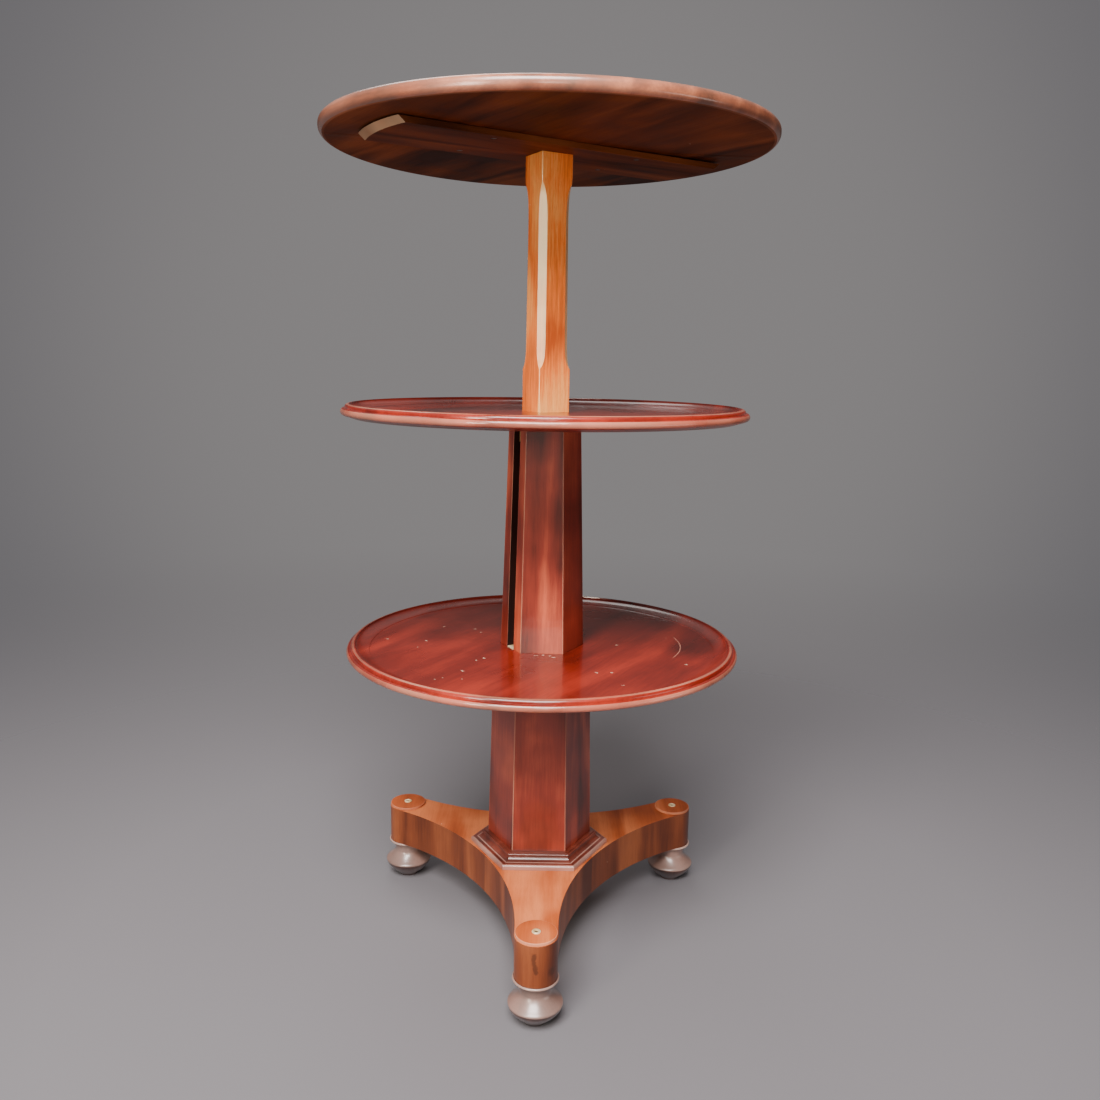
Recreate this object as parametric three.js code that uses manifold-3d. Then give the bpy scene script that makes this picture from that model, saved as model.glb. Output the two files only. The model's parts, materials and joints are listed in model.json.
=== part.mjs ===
// A three-tier telescoping dumbwaiter table in mahogany.
//
// Three round tiers ride on a column that slides into itself. A hollow hexagonal column stands on
// a three-armed plinth and carries the bottom tray. A second, slotted column slides inside it and
// carries the middle tray, and a square post slides inside that one and carries the top.
// The model is shown fully raised. Lengths are in millimetres, +Z is up, and the floor is at zero.

import * as THREE from 'three';
import { mergeVertices } from 'three/addons/utils/BufferGeometryUtils.js';
import Module from 'manifold-3d';

const wasm = await Module();
wasm.setup();

// Clearances

const glueGap = 0.2;
const slideGap = 0.5;
const stackGap = 1;
const cutOverrun = 5;

// Tiers: the heights are those of the undersides

const topRadius = 305;
const topThickness = 18;
const topEdgeRadius = 8;
const topZ = 1129;
const middleTrayRadius = 285;
const middleTrayZ = 768.7;
const bottomTrayRadius = 284;
const bottomTrayZ = 428.5;
const trayThickness = 19;
const dishDepth = 9.3;
const dishStep = 0.9;

// The moulded lip that runs round both trays

const lipBeadRadius = 5;
const lipBevelRise = 3.6;
const lipBevelWidth = 11;
const lipSetback = 5.8;
const lipQuirk = 0.8;
const lipOvoloWidth = 5;
const lipBandWidth = 1.5;
const lipCoveWidth = 20;

// Bearers: the discs that join the trays to what carries them

const bottomBearerRadius = 90;
const bottomBearerThickness = 11;
const middleBearerRadius = 75;
const middleBearerThickness = 8;
const bearerEdgeRadius = 4;

// Batten across the underside of the top, round at its ends, and the screws that hold it

const battenReach = 256;
const battenWidth = 124;
const battenThickness = 7.7;
const battenEndBevel = 9;
const battenAngle = 32.6;
const battenScrewAlong = 112;
const battenScrewAcross = 46;
const battenScrewRadius = 2;
const battenScrewLength = 20;
const battenScrewHeadRadius = 4;
const battenScrewHeadHeight = 2.4;

// Post

const postFootSide = 48.6;
const postShaftFootSide = 48.4;
const postShaftHeadSide = 45.6;
const postHeadSide = 47.2;
const postHeadBlock = 26;
const postFlareLength = 20;
const postChamfer = 8.7;
const postArris = 0.6;
const footStopHeight = 69;
const headStopDepth = 38.8;
const footTongueLength = 8.5;
const headTongueLength = 13;
const postTenonRadius = 15;
const headTenonRadius = 14;
const headTenonLength = 11;

// Shoe under the post, which guides it in the middle column

const shoeHeight = 24;
const shoeWasherRadius = 20;
const shoeWasherThickness = 2;
const shoeScrewRadius = 2.5;
const shoeScrewLength = 28;
const shoeScrewHeadRadius = 6;
const shoeScrewHeadHeight = 2.4;

// Middle column: walls are measured square to a face, outside the bore

const boreMargin = 2.8;
const middleHeadWall = 8.5;
const middleShoulderWall = 17.4;
const middleFootWall = 19.8;
const slotWidth = 19.5;

// Lower column

const lowerHeadWall = 6;
const lowerFootWall = 11.6;

// Key that stands in the slot of the middle column

const keyDepth = 10;
const keyFootDepth = 10;
const keyRise = 1.2;

// Flat bow springs that grip the bores

const springBow = 1.8;
const springThickness = 0.8;
const springWidth = 12;
const springEndMargin = 3;

// Plinth: a three-armed block of three mitred arms

const footHeight = 64;
const plinthThickness = 58.3;
const armReach = 253;
const armEndRadius = 28.7;
const plinthEdge = 1;
const waistMargin = 2.7;
const wellFloorGap = 3.5;

// Moulding round the foot of the lower column

const mouldingWidth = 22.4;
const mouldingHeight = 19.5;
const mouldingBeadRadius = 3.8;
const mouldingRollRadius = 1.6;
const coveOuterShare = 0.27;
const coveInnerShare = 0.69;
const coveLowShare = 0.38;
const coveHighShare = 0.76;

// Board and screws that tie the arms from below

const tieBoardMargin = 5;
const tieBoardThickness = 8;
const tieScrewRadius = 2;
const tieScrewLength = 26;
const tieScrewHeadRadius = 4;
const tieScrewHeadHeight = 2;

// Turned feet, pads and the eyes over their screws

const bunRadius = 36.5;
const bunWidestHeight = 26;
const bunHeight = 44.5;
const soleRadius = 15;
const neckRadius = 21.7;
const collarRadius = 31;
const collarThickness = 3.5;
const footTenonRadius = 10;
const footTenonLength = 30;
const padInset = 0.7;
const padThickness = 3.6;
const padEdge = 0.8;
const eyeRadius = 6;
const eyeBoreRadius = 2.4;
const eyeThickness = 1.7;
const eyeSeatDepth = 0.6;
const footScrewRadius = 2.2;
const footScrewHeadRadius = 4.2;
const footScrewHeadHeight = 1.8;
const footScrewGrip = 18;

// Facets

const discSegments = 72;
const turningSegments = 26;
const pinSegments = 14;
const weldTolerance = 1e-4;
const arcSteps = 5;
const smallArcSteps = 3;
const outlineSteps = 9;
const hexagonSides = 6;
const chamferShares = [0.15, 0.4, 0.8, 1.5, 2.6];

// Angles about the axis, in degrees

const frontAngle = -90;
const faceStepAngle = 60;
const armStepAngle = 120;
const postAngle = 30;
const fullFaces = ['front', 'front_right', 'back_right', 'back', 'back_left'];
const anglesFrom = (names, angleStep) =>
  Object.fromEntries(names.map((name, i) => [name, frontAngle + i * angleStep]));
const faceAngles = anglesFrom(fullFaces, faceStepAngle);
const slotAngle = frontAngle + fullFaces.length * faceStepAngle;
const armAngles = anglesFrom(['front', 'right', 'left'], armStepAngle);
const springAngles = { front: faceAngles.front, back: faceAngles.back };

// Sizes that follow from those above

const radians = THREE.MathUtils.degToRad;
const hexagonHalf = Math.PI / hexagonSides;
const cornerOf = (apothem) => apothem / Math.cos(hexagonHalf);
const topTop = topZ + topThickness;
const middleTravel = middleTrayZ - (bottomTrayZ + trayThickness) - stackGap;
const topTravel = topZ - (middleTrayZ + trayThickness) - stackGap;
const plinthTop = footHeight + plinthThickness;

const boreApothem = (postFootSide / Math.SQRT2) * Math.cos(radians(15)) + boreMargin;
const middleHeadZ = middleTrayZ - middleBearerThickness;
const middleFootZ = footHeight + wellFloorGap + middleTravel;
const lowerHeadZ = bottomTrayZ - bottomBearerThickness;
const shoulderZ = lowerHeadZ - slideGap;
const middleHeadApothem = boreApothem + middleHeadWall;
const shoulderApothem = boreApothem + middleShoulderWall;
const bandApothem = boreApothem + middleFootWall;
const trayHoleApothem = shoulderApothem + slideGap;
const lowerBoreApothem = bandApothem + slideGap;
const lowerHeadApothem = lowerBoreApothem + lowerHeadWall;
const lowerFootApothem = lowerBoreApothem + lowerFootWall;
const mouldingApothem = lowerFootApothem + mouldingWidth;
const waistApothem = mouldingApothem + waistMargin;
const postHoleSide = postFootSide + 2 * slideGap;
const wedgeReach = 4 * (armReach + topRadius);

// Half width of the lower column, square to a face, at a height.
function lowerApothemAt(z) {
  const share = THREE.MathUtils.clamp((z - plinthTop) / (lowerHeadZ - plinthTop), 0, 1);
  return THREE.MathUtils.lerp(lowerFootApothem, lowerHeadApothem, share);
}

// Half width of the middle column above its shoulder, square to a face, at a height.
function middleApothemAt(z) {
  const share = (z - shoulderZ) / (middleHeadZ - shoulderZ);
  return THREE.MathUtils.lerp(shoulderApothem, middleHeadApothem, share);
}

// Solids

// A closed geometry as a solid, whichever way its faces were wound.
function toSolid(geometry) {
  const bare = new THREE.BufferGeometry();
  bare.setAttribute('position', geometry.getAttribute('position').clone());
  if (geometry.index) bare.setIndex(geometry.index.clone());
  const merged = mergeVertices(bare, weldTolerance);
  const corners = merged.index.array;
  const triangles = [];
  for (let i = 0; i < corners.length; i += 3) {
    const [a, b, c] = [corners[i], corners[i + 1], corners[i + 2]];
    if (a !== b && b !== c && c !== a) triangles.push(a, b, c);
  }
  const solidFrom = (triVerts) => new wasm.Manifold(new wasm.Mesh({
    numProp: 3,
    vertProperties: new Float32Array(merged.attributes.position.array),
    triVerts: new Uint32Array(triVerts),
  }));
  const solid = solidFrom(triangles);
  return solid.volume() > 0 ? solid : solidFrom(triangles.reverse());
}

// A solid as a geometry that three.js can draw.
function toGeometry(solid) {
  const mesh = solid.getMesh();
  const geometry = new THREE.BufferGeometry();
  geometry.setAttribute('position', new THREE.BufferAttribute(mesh.vertProperties, 3));
  geometry.setIndex(new THREE.BufferAttribute(mesh.triVerts, 1));
  const flat = geometry.toNonIndexed();
  flat.computeVertexNormals();
  return flat;
}

// A profile of [radius, height] pairs turned about +Z.
// A profile that keeps off the axis is closed on itself.
function turned(profile, segments = turningSegments, start = 0) {
  const points = profile.map(([radius, z]) => new THREE.Vector2(radius, z));
  if (profile[0][0] > 0) points.push(points[0].clone());
  const geometry = new THREE.LatheGeometry(points, segments, start);
  geometry.rotateX(Math.PI / 2);
  return toSolid(geometry);
}

// A profile of [apothem, height] pairs carried round a hexagon with a face square to +X.
function hexagonal(profile) {
  const corners = profile.map(([apothem, z]) => [cornerOf(apothem), z]);
  return turned(corners, hexagonSides, Math.PI / 3);
}

// A closed shape in the XY plane raised between two heights.
function prism(shape, lowZ, highZ, edge = 0) {
  const geometry = new THREE.ExtrudeGeometry(shape, {
    depth: highZ - lowZ - 2 * edge,
    bevelEnabled: edge > 0,
    bevelThickness: edge,
    bevelSize: edge,
    bevelOffset: -edge,
    bevelSegments: 1,
    curveSegments: outlineSteps,
  });
  geometry.translate(0, 0, lowZ + edge);
  return toSolid(geometry);
}

// A closed shape of (distance out along +X, height), with a width across.
function bracket(shape, width) {
  const geometry = new THREE.ExtrudeGeometry(shape, {
    depth: width,
    bevelEnabled: false,
    curveSegments: smallArcSteps,
  });
  geometry.rotateX(Math.PI / 2);
  geometry.translate(0, width / 2, 0);
  return toSolid(geometry);
}

function polygon(points) {
  return new THREE.Shape(points.map(([x, y]) => new THREE.Vector2(x, y)));
}

// A block from one corner to the opposite one.
function block(lowX, highX, lowY, highY, lowZ, highZ) {
  return prism(polygon([[lowX, lowY], [highX, lowY], [highX, highY], [lowX, highY]]), lowZ, highZ);
}

function pin(radius, lowZ, highZ) {
  return turned([[0, lowZ], [radius, lowZ], [radius, highZ], [0, highZ]], pinSegments);
}

// The share of a solid that lies within an angle either side of +X, less half a joint.
function sectorOf(solid, halfAngle) {
  const apex = glueGap / 2 / Math.sin(halfAngle);
  const far = [wedgeReach * Math.cos(halfAngle), wedgeReach * Math.sin(halfAngle)];
  const wedge = polygon([[apex, 0], [apex + far[0], -far[1]], [apex + far[0], far[1]]]);
  return solid.intersect(prism(wedge, -cutOverrun, topTop + cutOverrun));
}

// Points [x, z] along a quarter ellipse about a centre, from one angle to another.
function arc(centreX, centreZ, width, height, fromDegrees, toDegrees, steps) {
  const points = [];
  for (let i = 0; i <= steps; i++) {
    const angle = radians(THREE.MathUtils.lerp(fromDegrees, toDegrees, i / steps));
    points.push([centreX + width * Math.cos(angle), centreZ + height * Math.sin(angle)]);
  }
  return points;
}

// A loft through rings of the same number of [x, y, z] points, closed flat at both ends.
function lofted(rings) {
  const count = rings[0].length;
  const triangles = [];
  for (let ring = 0; ring < rings.length - 1; ring++) {
    for (let i = 0; i < count; i++) {
      const a = ring * count + i;
      const b = ring * count + ((i + 1) % count);
      triangles.push(a, b, b + count, a, b + count, a + count);
    }
  }
  const last = (rings.length - 1) * count;
  for (let i = 1; i < count - 1; i++) {
    triangles.push(0, i + 1, i);
    triangles.push(last, last + i, last + i + 1);
  }
  const geometry = new THREE.BufferGeometry();
  geometry.setAttribute('position', new THREE.Float32BufferAttribute(rings.flat(2), 3));
  geometry.setIndex(triangles);
  return toSolid(geometry);
}

// Finishes

const finish = (color, roughness, metalness = 0) =>
  new THREE.MeshStandardMaterial({ color, roughness, metalness });
const finishes = {
  topMahogany: finish(0x6a3a22, 0.4),
  trayMahogany: finish(0x7c2a1c, 0.25),
  columnMahogany: finish(0x7a3526, 0.35),
  postMahogany: finish(0xb5652c, 0.45),
  plinthMahogany: finish(0x9a5530, 0.4),
  mouldingMahogany: finish(0x6e3023, 0.35),
  hiddenWood: finish(0x9c7850, 0.8),
  ebonisedWood: finish(0x2a1c1a, 0.3),
  brass: finish(0xc9a766, 0.35, 1),
  steel: finish(0x8a8784, 0.4, 1),
};

const dumbwaiter = new THREE.Group();
const standGroup = new THREE.Group();
const middleGroup = new THREE.Group();
const topGroup = new THREE.Group();
dumbwaiter.add(standGroup, middleGroup, topGroup);

// Adds one named piece to a group, turned about the axis by some degrees.
function place(group, name, geometry, material, degrees = 0) {
  const mesh = new THREE.Mesh(geometry, material);
  mesh.name = name;
  mesh.rotation.z = radians(degrees);
  group.add(mesh);
  return mesh;
}

// Plinth

// The outline of the whole plinth: a round end on each arm, joined by hollow sides.
// Each hollow is an arc that touches two ends and clears the moulding by the waist margin.
function plinthShape() {
  const narrow = waistApothem - armEndRadius;
  const hollowDistance = (armReach ** 2 - narrow ** 2) / (armReach - 2 * narrow);
  const hollowRadius = hollowDistance - waistApothem;
  const at = (distance, degrees) => new THREE.Vector2(
    distance * Math.cos(radians(degrees)),
    distance * Math.sin(radians(degrees)),
  );
  const towards = (from, to) => to.clone().sub(from).angle();
  const shape = new THREE.Shape();
  for (let arm = 0; arm < 3; arm++) {
    const end = at(armReach, arm * 120);
    const nextEnd = at(armReach, arm * 120 + 120);
    const before = at(hollowDistance, arm * 120 - 60);
    const after = at(hollowDistance, arm * 120 + 60);
    shape.absarc(end.x, end.y, armEndRadius, towards(end, before), towards(end, after), false);
    const from = towards(after, end);
    const to = towards(after, nextEnd);
    shape.absarc(after.x, after.y, hollowRadius, from, to, true);
  }
  return shape;
}

function plinthArm() {
  const columnHole = lowerFootApothem + glueGap;
  const hole = hexagonal([
    [0, footHeight - cutOverrun],
    [columnHole, footHeight - cutOverrun],
    [columnHole, plinthTop + cutOverrun],
    [0, plinthTop + cutOverrun],
  ]);
  const whole = prism(plinthShape(), footHeight, plinthTop, plinthEdge);
  const tenonHole = pin(
    footTenonRadius + 2 * glueGap,
    footHeight - cutOverrun,
    footHeight + footTenonLength + glueGap,
  ).translate([armReach, 0, 0]);
  const screwHole = pin(
    footScrewRadius + 2 * glueGap,
    footHeight,
    plinthTop + cutOverrun,
  ).translate([armReach, 0, 0]);
  const tieHole = pin(
    tieScrewRadius + glueGap,
    footHeight - cutOverrun,
    footHeight - tieBoardThickness + tieScrewLength + glueGap,
  ).translate([tieScrewDistance, 0, 0]);
  return sectorOf(whole.subtract(hole), Math.PI / 3)
    .subtract(tenonHole)
    .subtract(screwHole)
    .subtract(tieHole);
}

const tieBoardRadius = cornerOf(lowerFootApothem + glueGap) + tieBoardMargin;
const tieScrewDistance = (lowerFootApothem + tieBoardRadius) / 2;

// A turned foot: sole, bun, neck and collar, with a tenon that goes up into the arm.
function turnedFoot() {
  const lowerBunShares = [[0, 0], [0.14, 0.15], [0.42, 0.35], [0.7, 0.58], [0.93, 0.83], [1, 1]];
  const flareShares = [[0.97, 0.13], [0.64, 0.36], [0.33, 0.6], [0.1, 0.83], [0, 1]];
  const collarZ = footHeight - collarThickness;
  const seatZ = footHeight - glueGap;
  const tenonTop = footHeight + footTenonLength;
  const screwHole = footScrewRadius + glueGap;
  return turned([
    [0, 0],
    ...lowerBunShares.map(([out, up]) => [
      THREE.MathUtils.lerp(soleRadius, bunRadius, out),
      up * bunWidestHeight,
    ]),
    ...flareShares.map(([out, up]) => [
      THREE.MathUtils.lerp(neckRadius, bunRadius, out),
      THREE.MathUtils.lerp(bunWidestHeight, bunHeight, up),
    ]),
    [neckRadius, collarZ],
    ...arc(
      collarRadius - collarThickness / 2,
      (collarZ + seatZ) / 2,
      collarThickness / 2,
      (seatZ - collarZ) / 2,
      -90,
      90,
      smallArcSteps + 1,
    ),
    [footTenonRadius, seatZ],
    [footTenonRadius, tenonTop],
    [screwHole, tenonTop],
    [screwHole, tenonTop - footScrewGrip - glueGap],
    [0, tenonTop - footScrewGrip - glueGap],
  ]);
}

// The raised disc on an arm's end, stepped inside for the screw's head and the eye.
const padSeatZ = plinthTop + glueGap;
const padTopZ = padSeatZ + padThickness;
const eyeSeatZ = padTopZ - eyeSeatDepth;
const screwHeadZ = eyeSeatZ - footScrewHeadHeight - glueGap;

function armPad() {
  const radius = armEndRadius - padInset;
  return turned([
    [footScrewRadius + glueGap, padSeatZ],
    [radius, padSeatZ],
    ...arc(radius - padEdge, padTopZ - padEdge, padEdge, padEdge, 0, 90, 2),
    [eyeRadius + glueGap, padTopZ],
    [eyeRadius + glueGap, eyeSeatZ],
    [footScrewHeadRadius + glueGap, eyeSeatZ],
    [footScrewHeadRadius + glueGap, screwHeadZ - glueGap],
    [footScrewRadius + glueGap, screwHeadZ - glueGap],
  ]);
}

function padEye() {
  const middle = (eyeRadius + eyeBoreRadius) / 2;
  const halfWidth = (eyeRadius - eyeBoreRadius) / 2;
  const low = eyeSeatZ + glueGap;
  return turned([
    [eyeBoreRadius, low],
    [eyeRadius, low],
    ...arc(middle, low + eyeThickness / 2, halfWidth, eyeThickness / 2, 0, 180, 4),
  ], pinSegments);
}

function footScrew() {
  const point = footHeight + footTenonLength - footScrewGrip;
  return turned([
    [0, point],
    [footScrewRadius, point],
    [footScrewRadius, screwHeadZ],
    [footScrewHeadRadius, screwHeadZ],
    [footScrewHeadRadius, screwHeadZ + footScrewHeadHeight],
    [0, screwHeadZ + footScrewHeadHeight],
  ], pinSegments);
}

function tieScrew() {
  const headZ = footHeight - glueGap - tieBoardThickness;
  return turned([
    [0, headZ - tieScrewHeadHeight],
    [tieScrewHeadRadius, headZ - tieScrewHeadHeight],
    [tieScrewHeadRadius, headZ - glueGap],
    [tieScrewRadius, headZ - glueGap],
    [tieScrewRadius, headZ + tieScrewLength],
    [0, headZ + tieScrewLength],
  ], pinSegments);
}

const armGeometry = toGeometry(plinthArm());
const tieScrewGeometry = toGeometry(tieScrew());
const turnings = {
  foot: [toGeometry(turnedFoot()), finishes.ebonisedWood],
  arm_pad: [toGeometry(armPad()), finishes.plinthMahogany],
  pad_eye: [toGeometry(padEye()), finishes.brass],
  foot_screw: [toGeometry(footScrew()), finishes.steel],
};
for (const [side, degrees] of Object.entries(armAngles)) {
  const armGroup = new THREE.Group();
  armGroup.rotation.z = radians(degrees);
  standGroup.add(armGroup);
  place(armGroup, `plinth_arm_${side}`, armGeometry, finishes.plinthMahogany);
  place(armGroup, `tie_screw_${side}`, tieScrewGeometry, finishes.steel).position.x = tieScrewDistance;
  for (const [piece, [geometry, material]] of Object.entries(turnings)) {
    place(armGroup, `${piece}_${side}`, geometry, material).position.x = armReach;
  }
}

// The board below the plinth, which ties the arms and closes the foot of the column.
function tieBoard() {
  const highZ = footHeight - glueGap;
  const lowZ = highZ - tieBoardThickness;
  let board = turned(
    [[0, lowZ], [tieBoardRadius, lowZ], [tieBoardRadius, highZ], [0, highZ]],
    turningSegments,
  );
  for (const degrees of Object.values(armAngles)) {
    const hole = pin(tieScrewRadius + glueGap, lowZ - cutOverrun, highZ + cutOverrun);
    board = board.subtract(hole.translate([tieScrewDistance, 0, 0]).rotate([0, 0, degrees]));
  }
  return board;
}
place(standGroup, 'tie_board', toGeometry(tieBoard()), finishes.hiddenWood);

// Moulding round the column's foot: bead, cove, small roll and fillet, in mitred lengths

function mouldingLength() {
  const bottom = plinthTop + glueGap;
  const top = bottom + mouldingHeight;
  const innerAt = (z) => lowerApothemAt(z) + glueGap;
  const beadX = mouldingApothem - mouldingBeadRadius;
  const coveLowX = mouldingApothem - coveOuterShare * mouldingWidth;
  const coveHighX = mouldingApothem - coveInnerShare * mouldingWidth;
  const coveLowZ = bottom + coveLowShare * mouldingHeight;
  const coveHighZ = bottom + coveHighShare * mouldingHeight;
  const roll = mouldingRollRadius;
  const ring = hexagonal([
    [innerAt(bottom), bottom],
    [mouldingApothem, bottom],
    [mouldingApothem, bottom + mouldingBeadRadius],
    ...arc(beadX, bottom + mouldingBeadRadius, mouldingBeadRadius, mouldingBeadRadius, 15, 105, 5),
    ...arc(coveLowX, coveHighZ, coveLowX - coveHighX, coveHighZ - coveLowZ, -90, -180, 4),
    ...arc(coveHighX, coveHighZ + roll, roll, roll, -60, 90, 4),
    [coveHighX - roll, coveHighZ + 2 * roll],
    [coveHighX - roll, top],
    [innerAt(top), top],
  ]);
  return sectorOf(ring, hexagonHalf);
}

const mouldingGeometry = toGeometry(mouldingLength());
for (const [side, degrees] of Object.entries({ ...faceAngles, front_left: slotAngle })) {
  place(standGroup, `plinth_moulding_${side}`, mouldingGeometry, finishes.mouldingMahogany, degrees);
}

// Lower column: six mitred staves that run down through the plinth

function lowerStave() {
  return sectorOf(hexagonal([
    [lowerBoreApothem, footHeight],
    [lowerFootApothem, footHeight],
    [lowerFootApothem, plinthTop],
    [lowerHeadApothem, lowerHeadZ - glueGap],
    [lowerBoreApothem, lowerHeadZ - glueGap],
  ]), hexagonHalf);
}

const lowerStaveGeometry = toGeometry(lowerStave());
for (const [side, degrees] of Object.entries({ ...faceAngles, front_left: slotAngle })) {
  place(standGroup, `lower_stave_${side}`, lowerStaveGeometry, finishes.columnMahogany, degrees);
}

// Trays and bearers

// Half a section through a dished tray, from the axis out and back over the lip to the axis.
function trayProfile(radius, underside) {
  const rimZ = underside + trayThickness;
  const floorZ = rimZ - dishDepth;
  const beadX = radius - lipBeadRadius;
  const beadZ = underside + lipBevelRise + lipBeadRadius;
  const beadTop = beadZ + lipBeadRadius;
  const upperX = radius - lipSetback;
  const bandX = upperX - lipOvoloWidth - lipBandWidth;
  const coveX = bandX - lipCoveWidth;
  const ovoloZ = beadTop + lipQuirk;
  const coveFootZ = floorZ + dishStep;
  return [
    [0, underside],
    [beadX - lipBevelWidth, underside],
    ...arc(beadX, beadZ, lipBeadRadius, lipBeadRadius, -90, 90, arcSteps),
    [upperX, beadTop],
    ...arc(upperX - lipOvoloWidth, ovoloZ, lipOvoloWidth, rimZ - ovoloZ, 0, 90, smallArcSteps),
    ...arc(coveX, rimZ, lipCoveWidth, rimZ - coveFootZ, 0, -90, smallArcSteps + 1),
    [coveX - dishStep, floorZ],
    [0, floorZ],
  ];
}

function bearerProfile(radius, lowZ, highZ) {
  const edge = bearerEdgeRadius;
  return [
    [0, lowZ],
    ...arc(radius - edge, lowZ + edge, edge, edge, -90, 0, 2),
    [radius, highZ],
    [0, highZ],
  ];
}

// The way through the bottom tray and its bearer for the middle column.
const columnWay = hexagonal([
  [0, lowerHeadZ - cutOverrun],
  [trayHoleApothem, lowerHeadZ - cutOverrun],
  [trayHoleApothem, bottomTrayZ + trayThickness],
  [0, bottomTrayZ + trayThickness],
]).rotate([0, 0, faceAngles.front]);

// The way through the middle tray and its bearer for the post.
const halfHole = postHoleSide / 2;
const postWay = block(
  -halfHole,
  halfHole,
  -halfHole,
  halfHole,
  middleHeadZ - cutOverrun,
  middleTrayZ + trayThickness,
).rotate([0, 0, postAngle]);

const keyWidth = slotWidth - 2 * slideGap;
const keyOuter = trayHoleApothem + keyFootDepth;
const keyNotch = block(
  0,
  keyOuter + glueGap,
  -keyWidth / 2 - glueGap,
  keyWidth / 2 + glueGap,
  lowerHeadZ - cutOverrun,
  bottomTrayZ + cutOverrun,
).rotate([0, 0, slotAngle]);

const bottomTray = turned(trayProfile(bottomTrayRadius, bottomTrayZ), discSegments)
  .subtract(columnWay);
const bottomBearer = turned(
  bearerProfile(bottomBearerRadius, lowerHeadZ, bottomTrayZ - glueGap),
  turningSegments,
).subtract(columnWay).subtract(keyNotch);
const middleTray = turned(trayProfile(middleTrayRadius, middleTrayZ), discSegments)
  .subtract(postWay);
const middleBearer = turned(
  bearerProfile(middleBearerRadius, middleHeadZ, middleTrayZ - glueGap),
  turningSegments,
).subtract(postWay);
place(standGroup, 'bottom_tray', toGeometry(bottomTray), finishes.trayMahogany);
place(standGroup, 'bottom_bearer', toGeometry(bottomBearer), finishes.columnMahogany);
place(middleGroup, 'middle_tray', toGeometry(middleTray), finishes.trayMahogany);
place(middleGroup, 'middle_bearer', toGeometry(middleBearer), finishes.columnMahogany);

// The key: its foot lies in the bearer's notch and its tongue stands up in the column's slot.
function slotKey() {
  const footTop = bottomTrayZ - 2 * glueGap;
  const bottom = lowerHeadZ;
  const tongueOut = middleApothemAt(bottomTrayZ + trayThickness) - glueGap;
  const tongueIn = tongueOut - keyDepth;
  const tongueTop = bottomTrayZ + trayThickness - dishDepth + keyRise;
  return bracket(polygon([
    [tongueIn, bottom],
    [keyOuter, bottom],
    [keyOuter, footTop],
    [tongueOut, footTop],
    [tongueOut, tongueTop],
    [tongueIn, tongueTop],
  ]), keyWidth);
}
place(standGroup, 'slot_key', toGeometry(slotKey()), finishes.brass, slotAngle);

// Middle column: five full staves, and two cheeks either side of the slot

const middleStave = sectorOf(hexagonal([
  [boreApothem, middleFootZ],
  [bandApothem, middleFootZ],
  [bandApothem, shoulderZ],
  [shoulderApothem, shoulderZ],
  [middleHeadApothem, middleHeadZ - glueGap],
  [boreApothem, middleHeadZ - glueGap],
]), hexagonHalf);

// How far out a bow spring reaches before its bore, and the floor of the recess it lies in.
const bandCrown = lowerBoreApothem - glueGap;
const bandHeight = shoulderZ - middleFootZ;
const recessDepth = springBow + springThickness + glueGap;

function springRecess(crown, lowZ, highZ) {
  const half = springWidth / 2 + glueGap;
  const out = crown + cutOverrun;
  const margin = springEndMargin - glueGap;
  return block(crown - recessDepth, out, -half, half, lowZ + margin, highZ - margin);
}

// A flat spring bent to a shallow bow, standing upright with its crown outwards.
function bowSpring(crown, lowZ, highZ) {
  const halfLength = (highZ - lowZ) / 2 - springEndMargin;
  const bend = (halfLength ** 2 + springBow ** 2) / (2 * springBow);
  const sweep = Math.asin(halfLength / bend);
  const middleZ = (lowZ + highZ) / 2;
  const shape = new THREE.Shape();
  shape.absarc(crown - bend, middleZ, bend, -sweep, sweep, false);
  shape.absarc(crown - bend, middleZ, bend - springThickness, sweep, -sweep, true);
  return bracket(shape, springWidth);
}

const middleStaveGeometry = toGeometry(middleStave);
const recessedStaveGeometry = toGeometry(
  middleStave.subtract(springRecess(bandCrown, middleFootZ, shoulderZ)),
);
for (const [side, degrees] of Object.entries(faceAngles)) {
  const geometry = side in springAngles ? recessedStaveGeometry : middleStaveGeometry;
  place(middleGroup, `middle_stave_${side}`, geometry, finishes.columnMahogany, degrees);
}

for (const [side, sign] of Object.entries({ left: -1, right: 1 })) {
  const [low, high] = [sign * slotWidth / 2, sign * wedgeReach].sort((a, b) => a - b);
  const half = block(0, wedgeReach, low, high, middleFootZ - cutOverrun, middleHeadZ + cutOverrun);
  const cheek = toGeometry(middleStave.intersect(half));
  place(middleGroup, `slot_cheek_${side}`, cheek, finishes.columnMahogany, slotAngle);
}

// The filling at the foot of the slot, which meets the key when the column is fully raised.
const slotStop = block(
  boreApothem,
  bandApothem,
  -slotWidth / 2 + glueGap,
  slotWidth / 2 - glueGap,
  middleFootZ,
  shoulderZ,
);
place(middleGroup, 'slot_stop', toGeometry(slotStop), finishes.columnMahogany, slotAngle);

const bandSpringGeometry = toGeometry(bowSpring(bandCrown, middleFootZ, shoulderZ));
for (const [side, degrees] of Object.entries(springAngles)) {
  place(middleGroup, `column_spring_${side}`, bandSpringGeometry, finishes.steel, degrees);
}

// Top: one round board, with a batten across the grain of its underside

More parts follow.
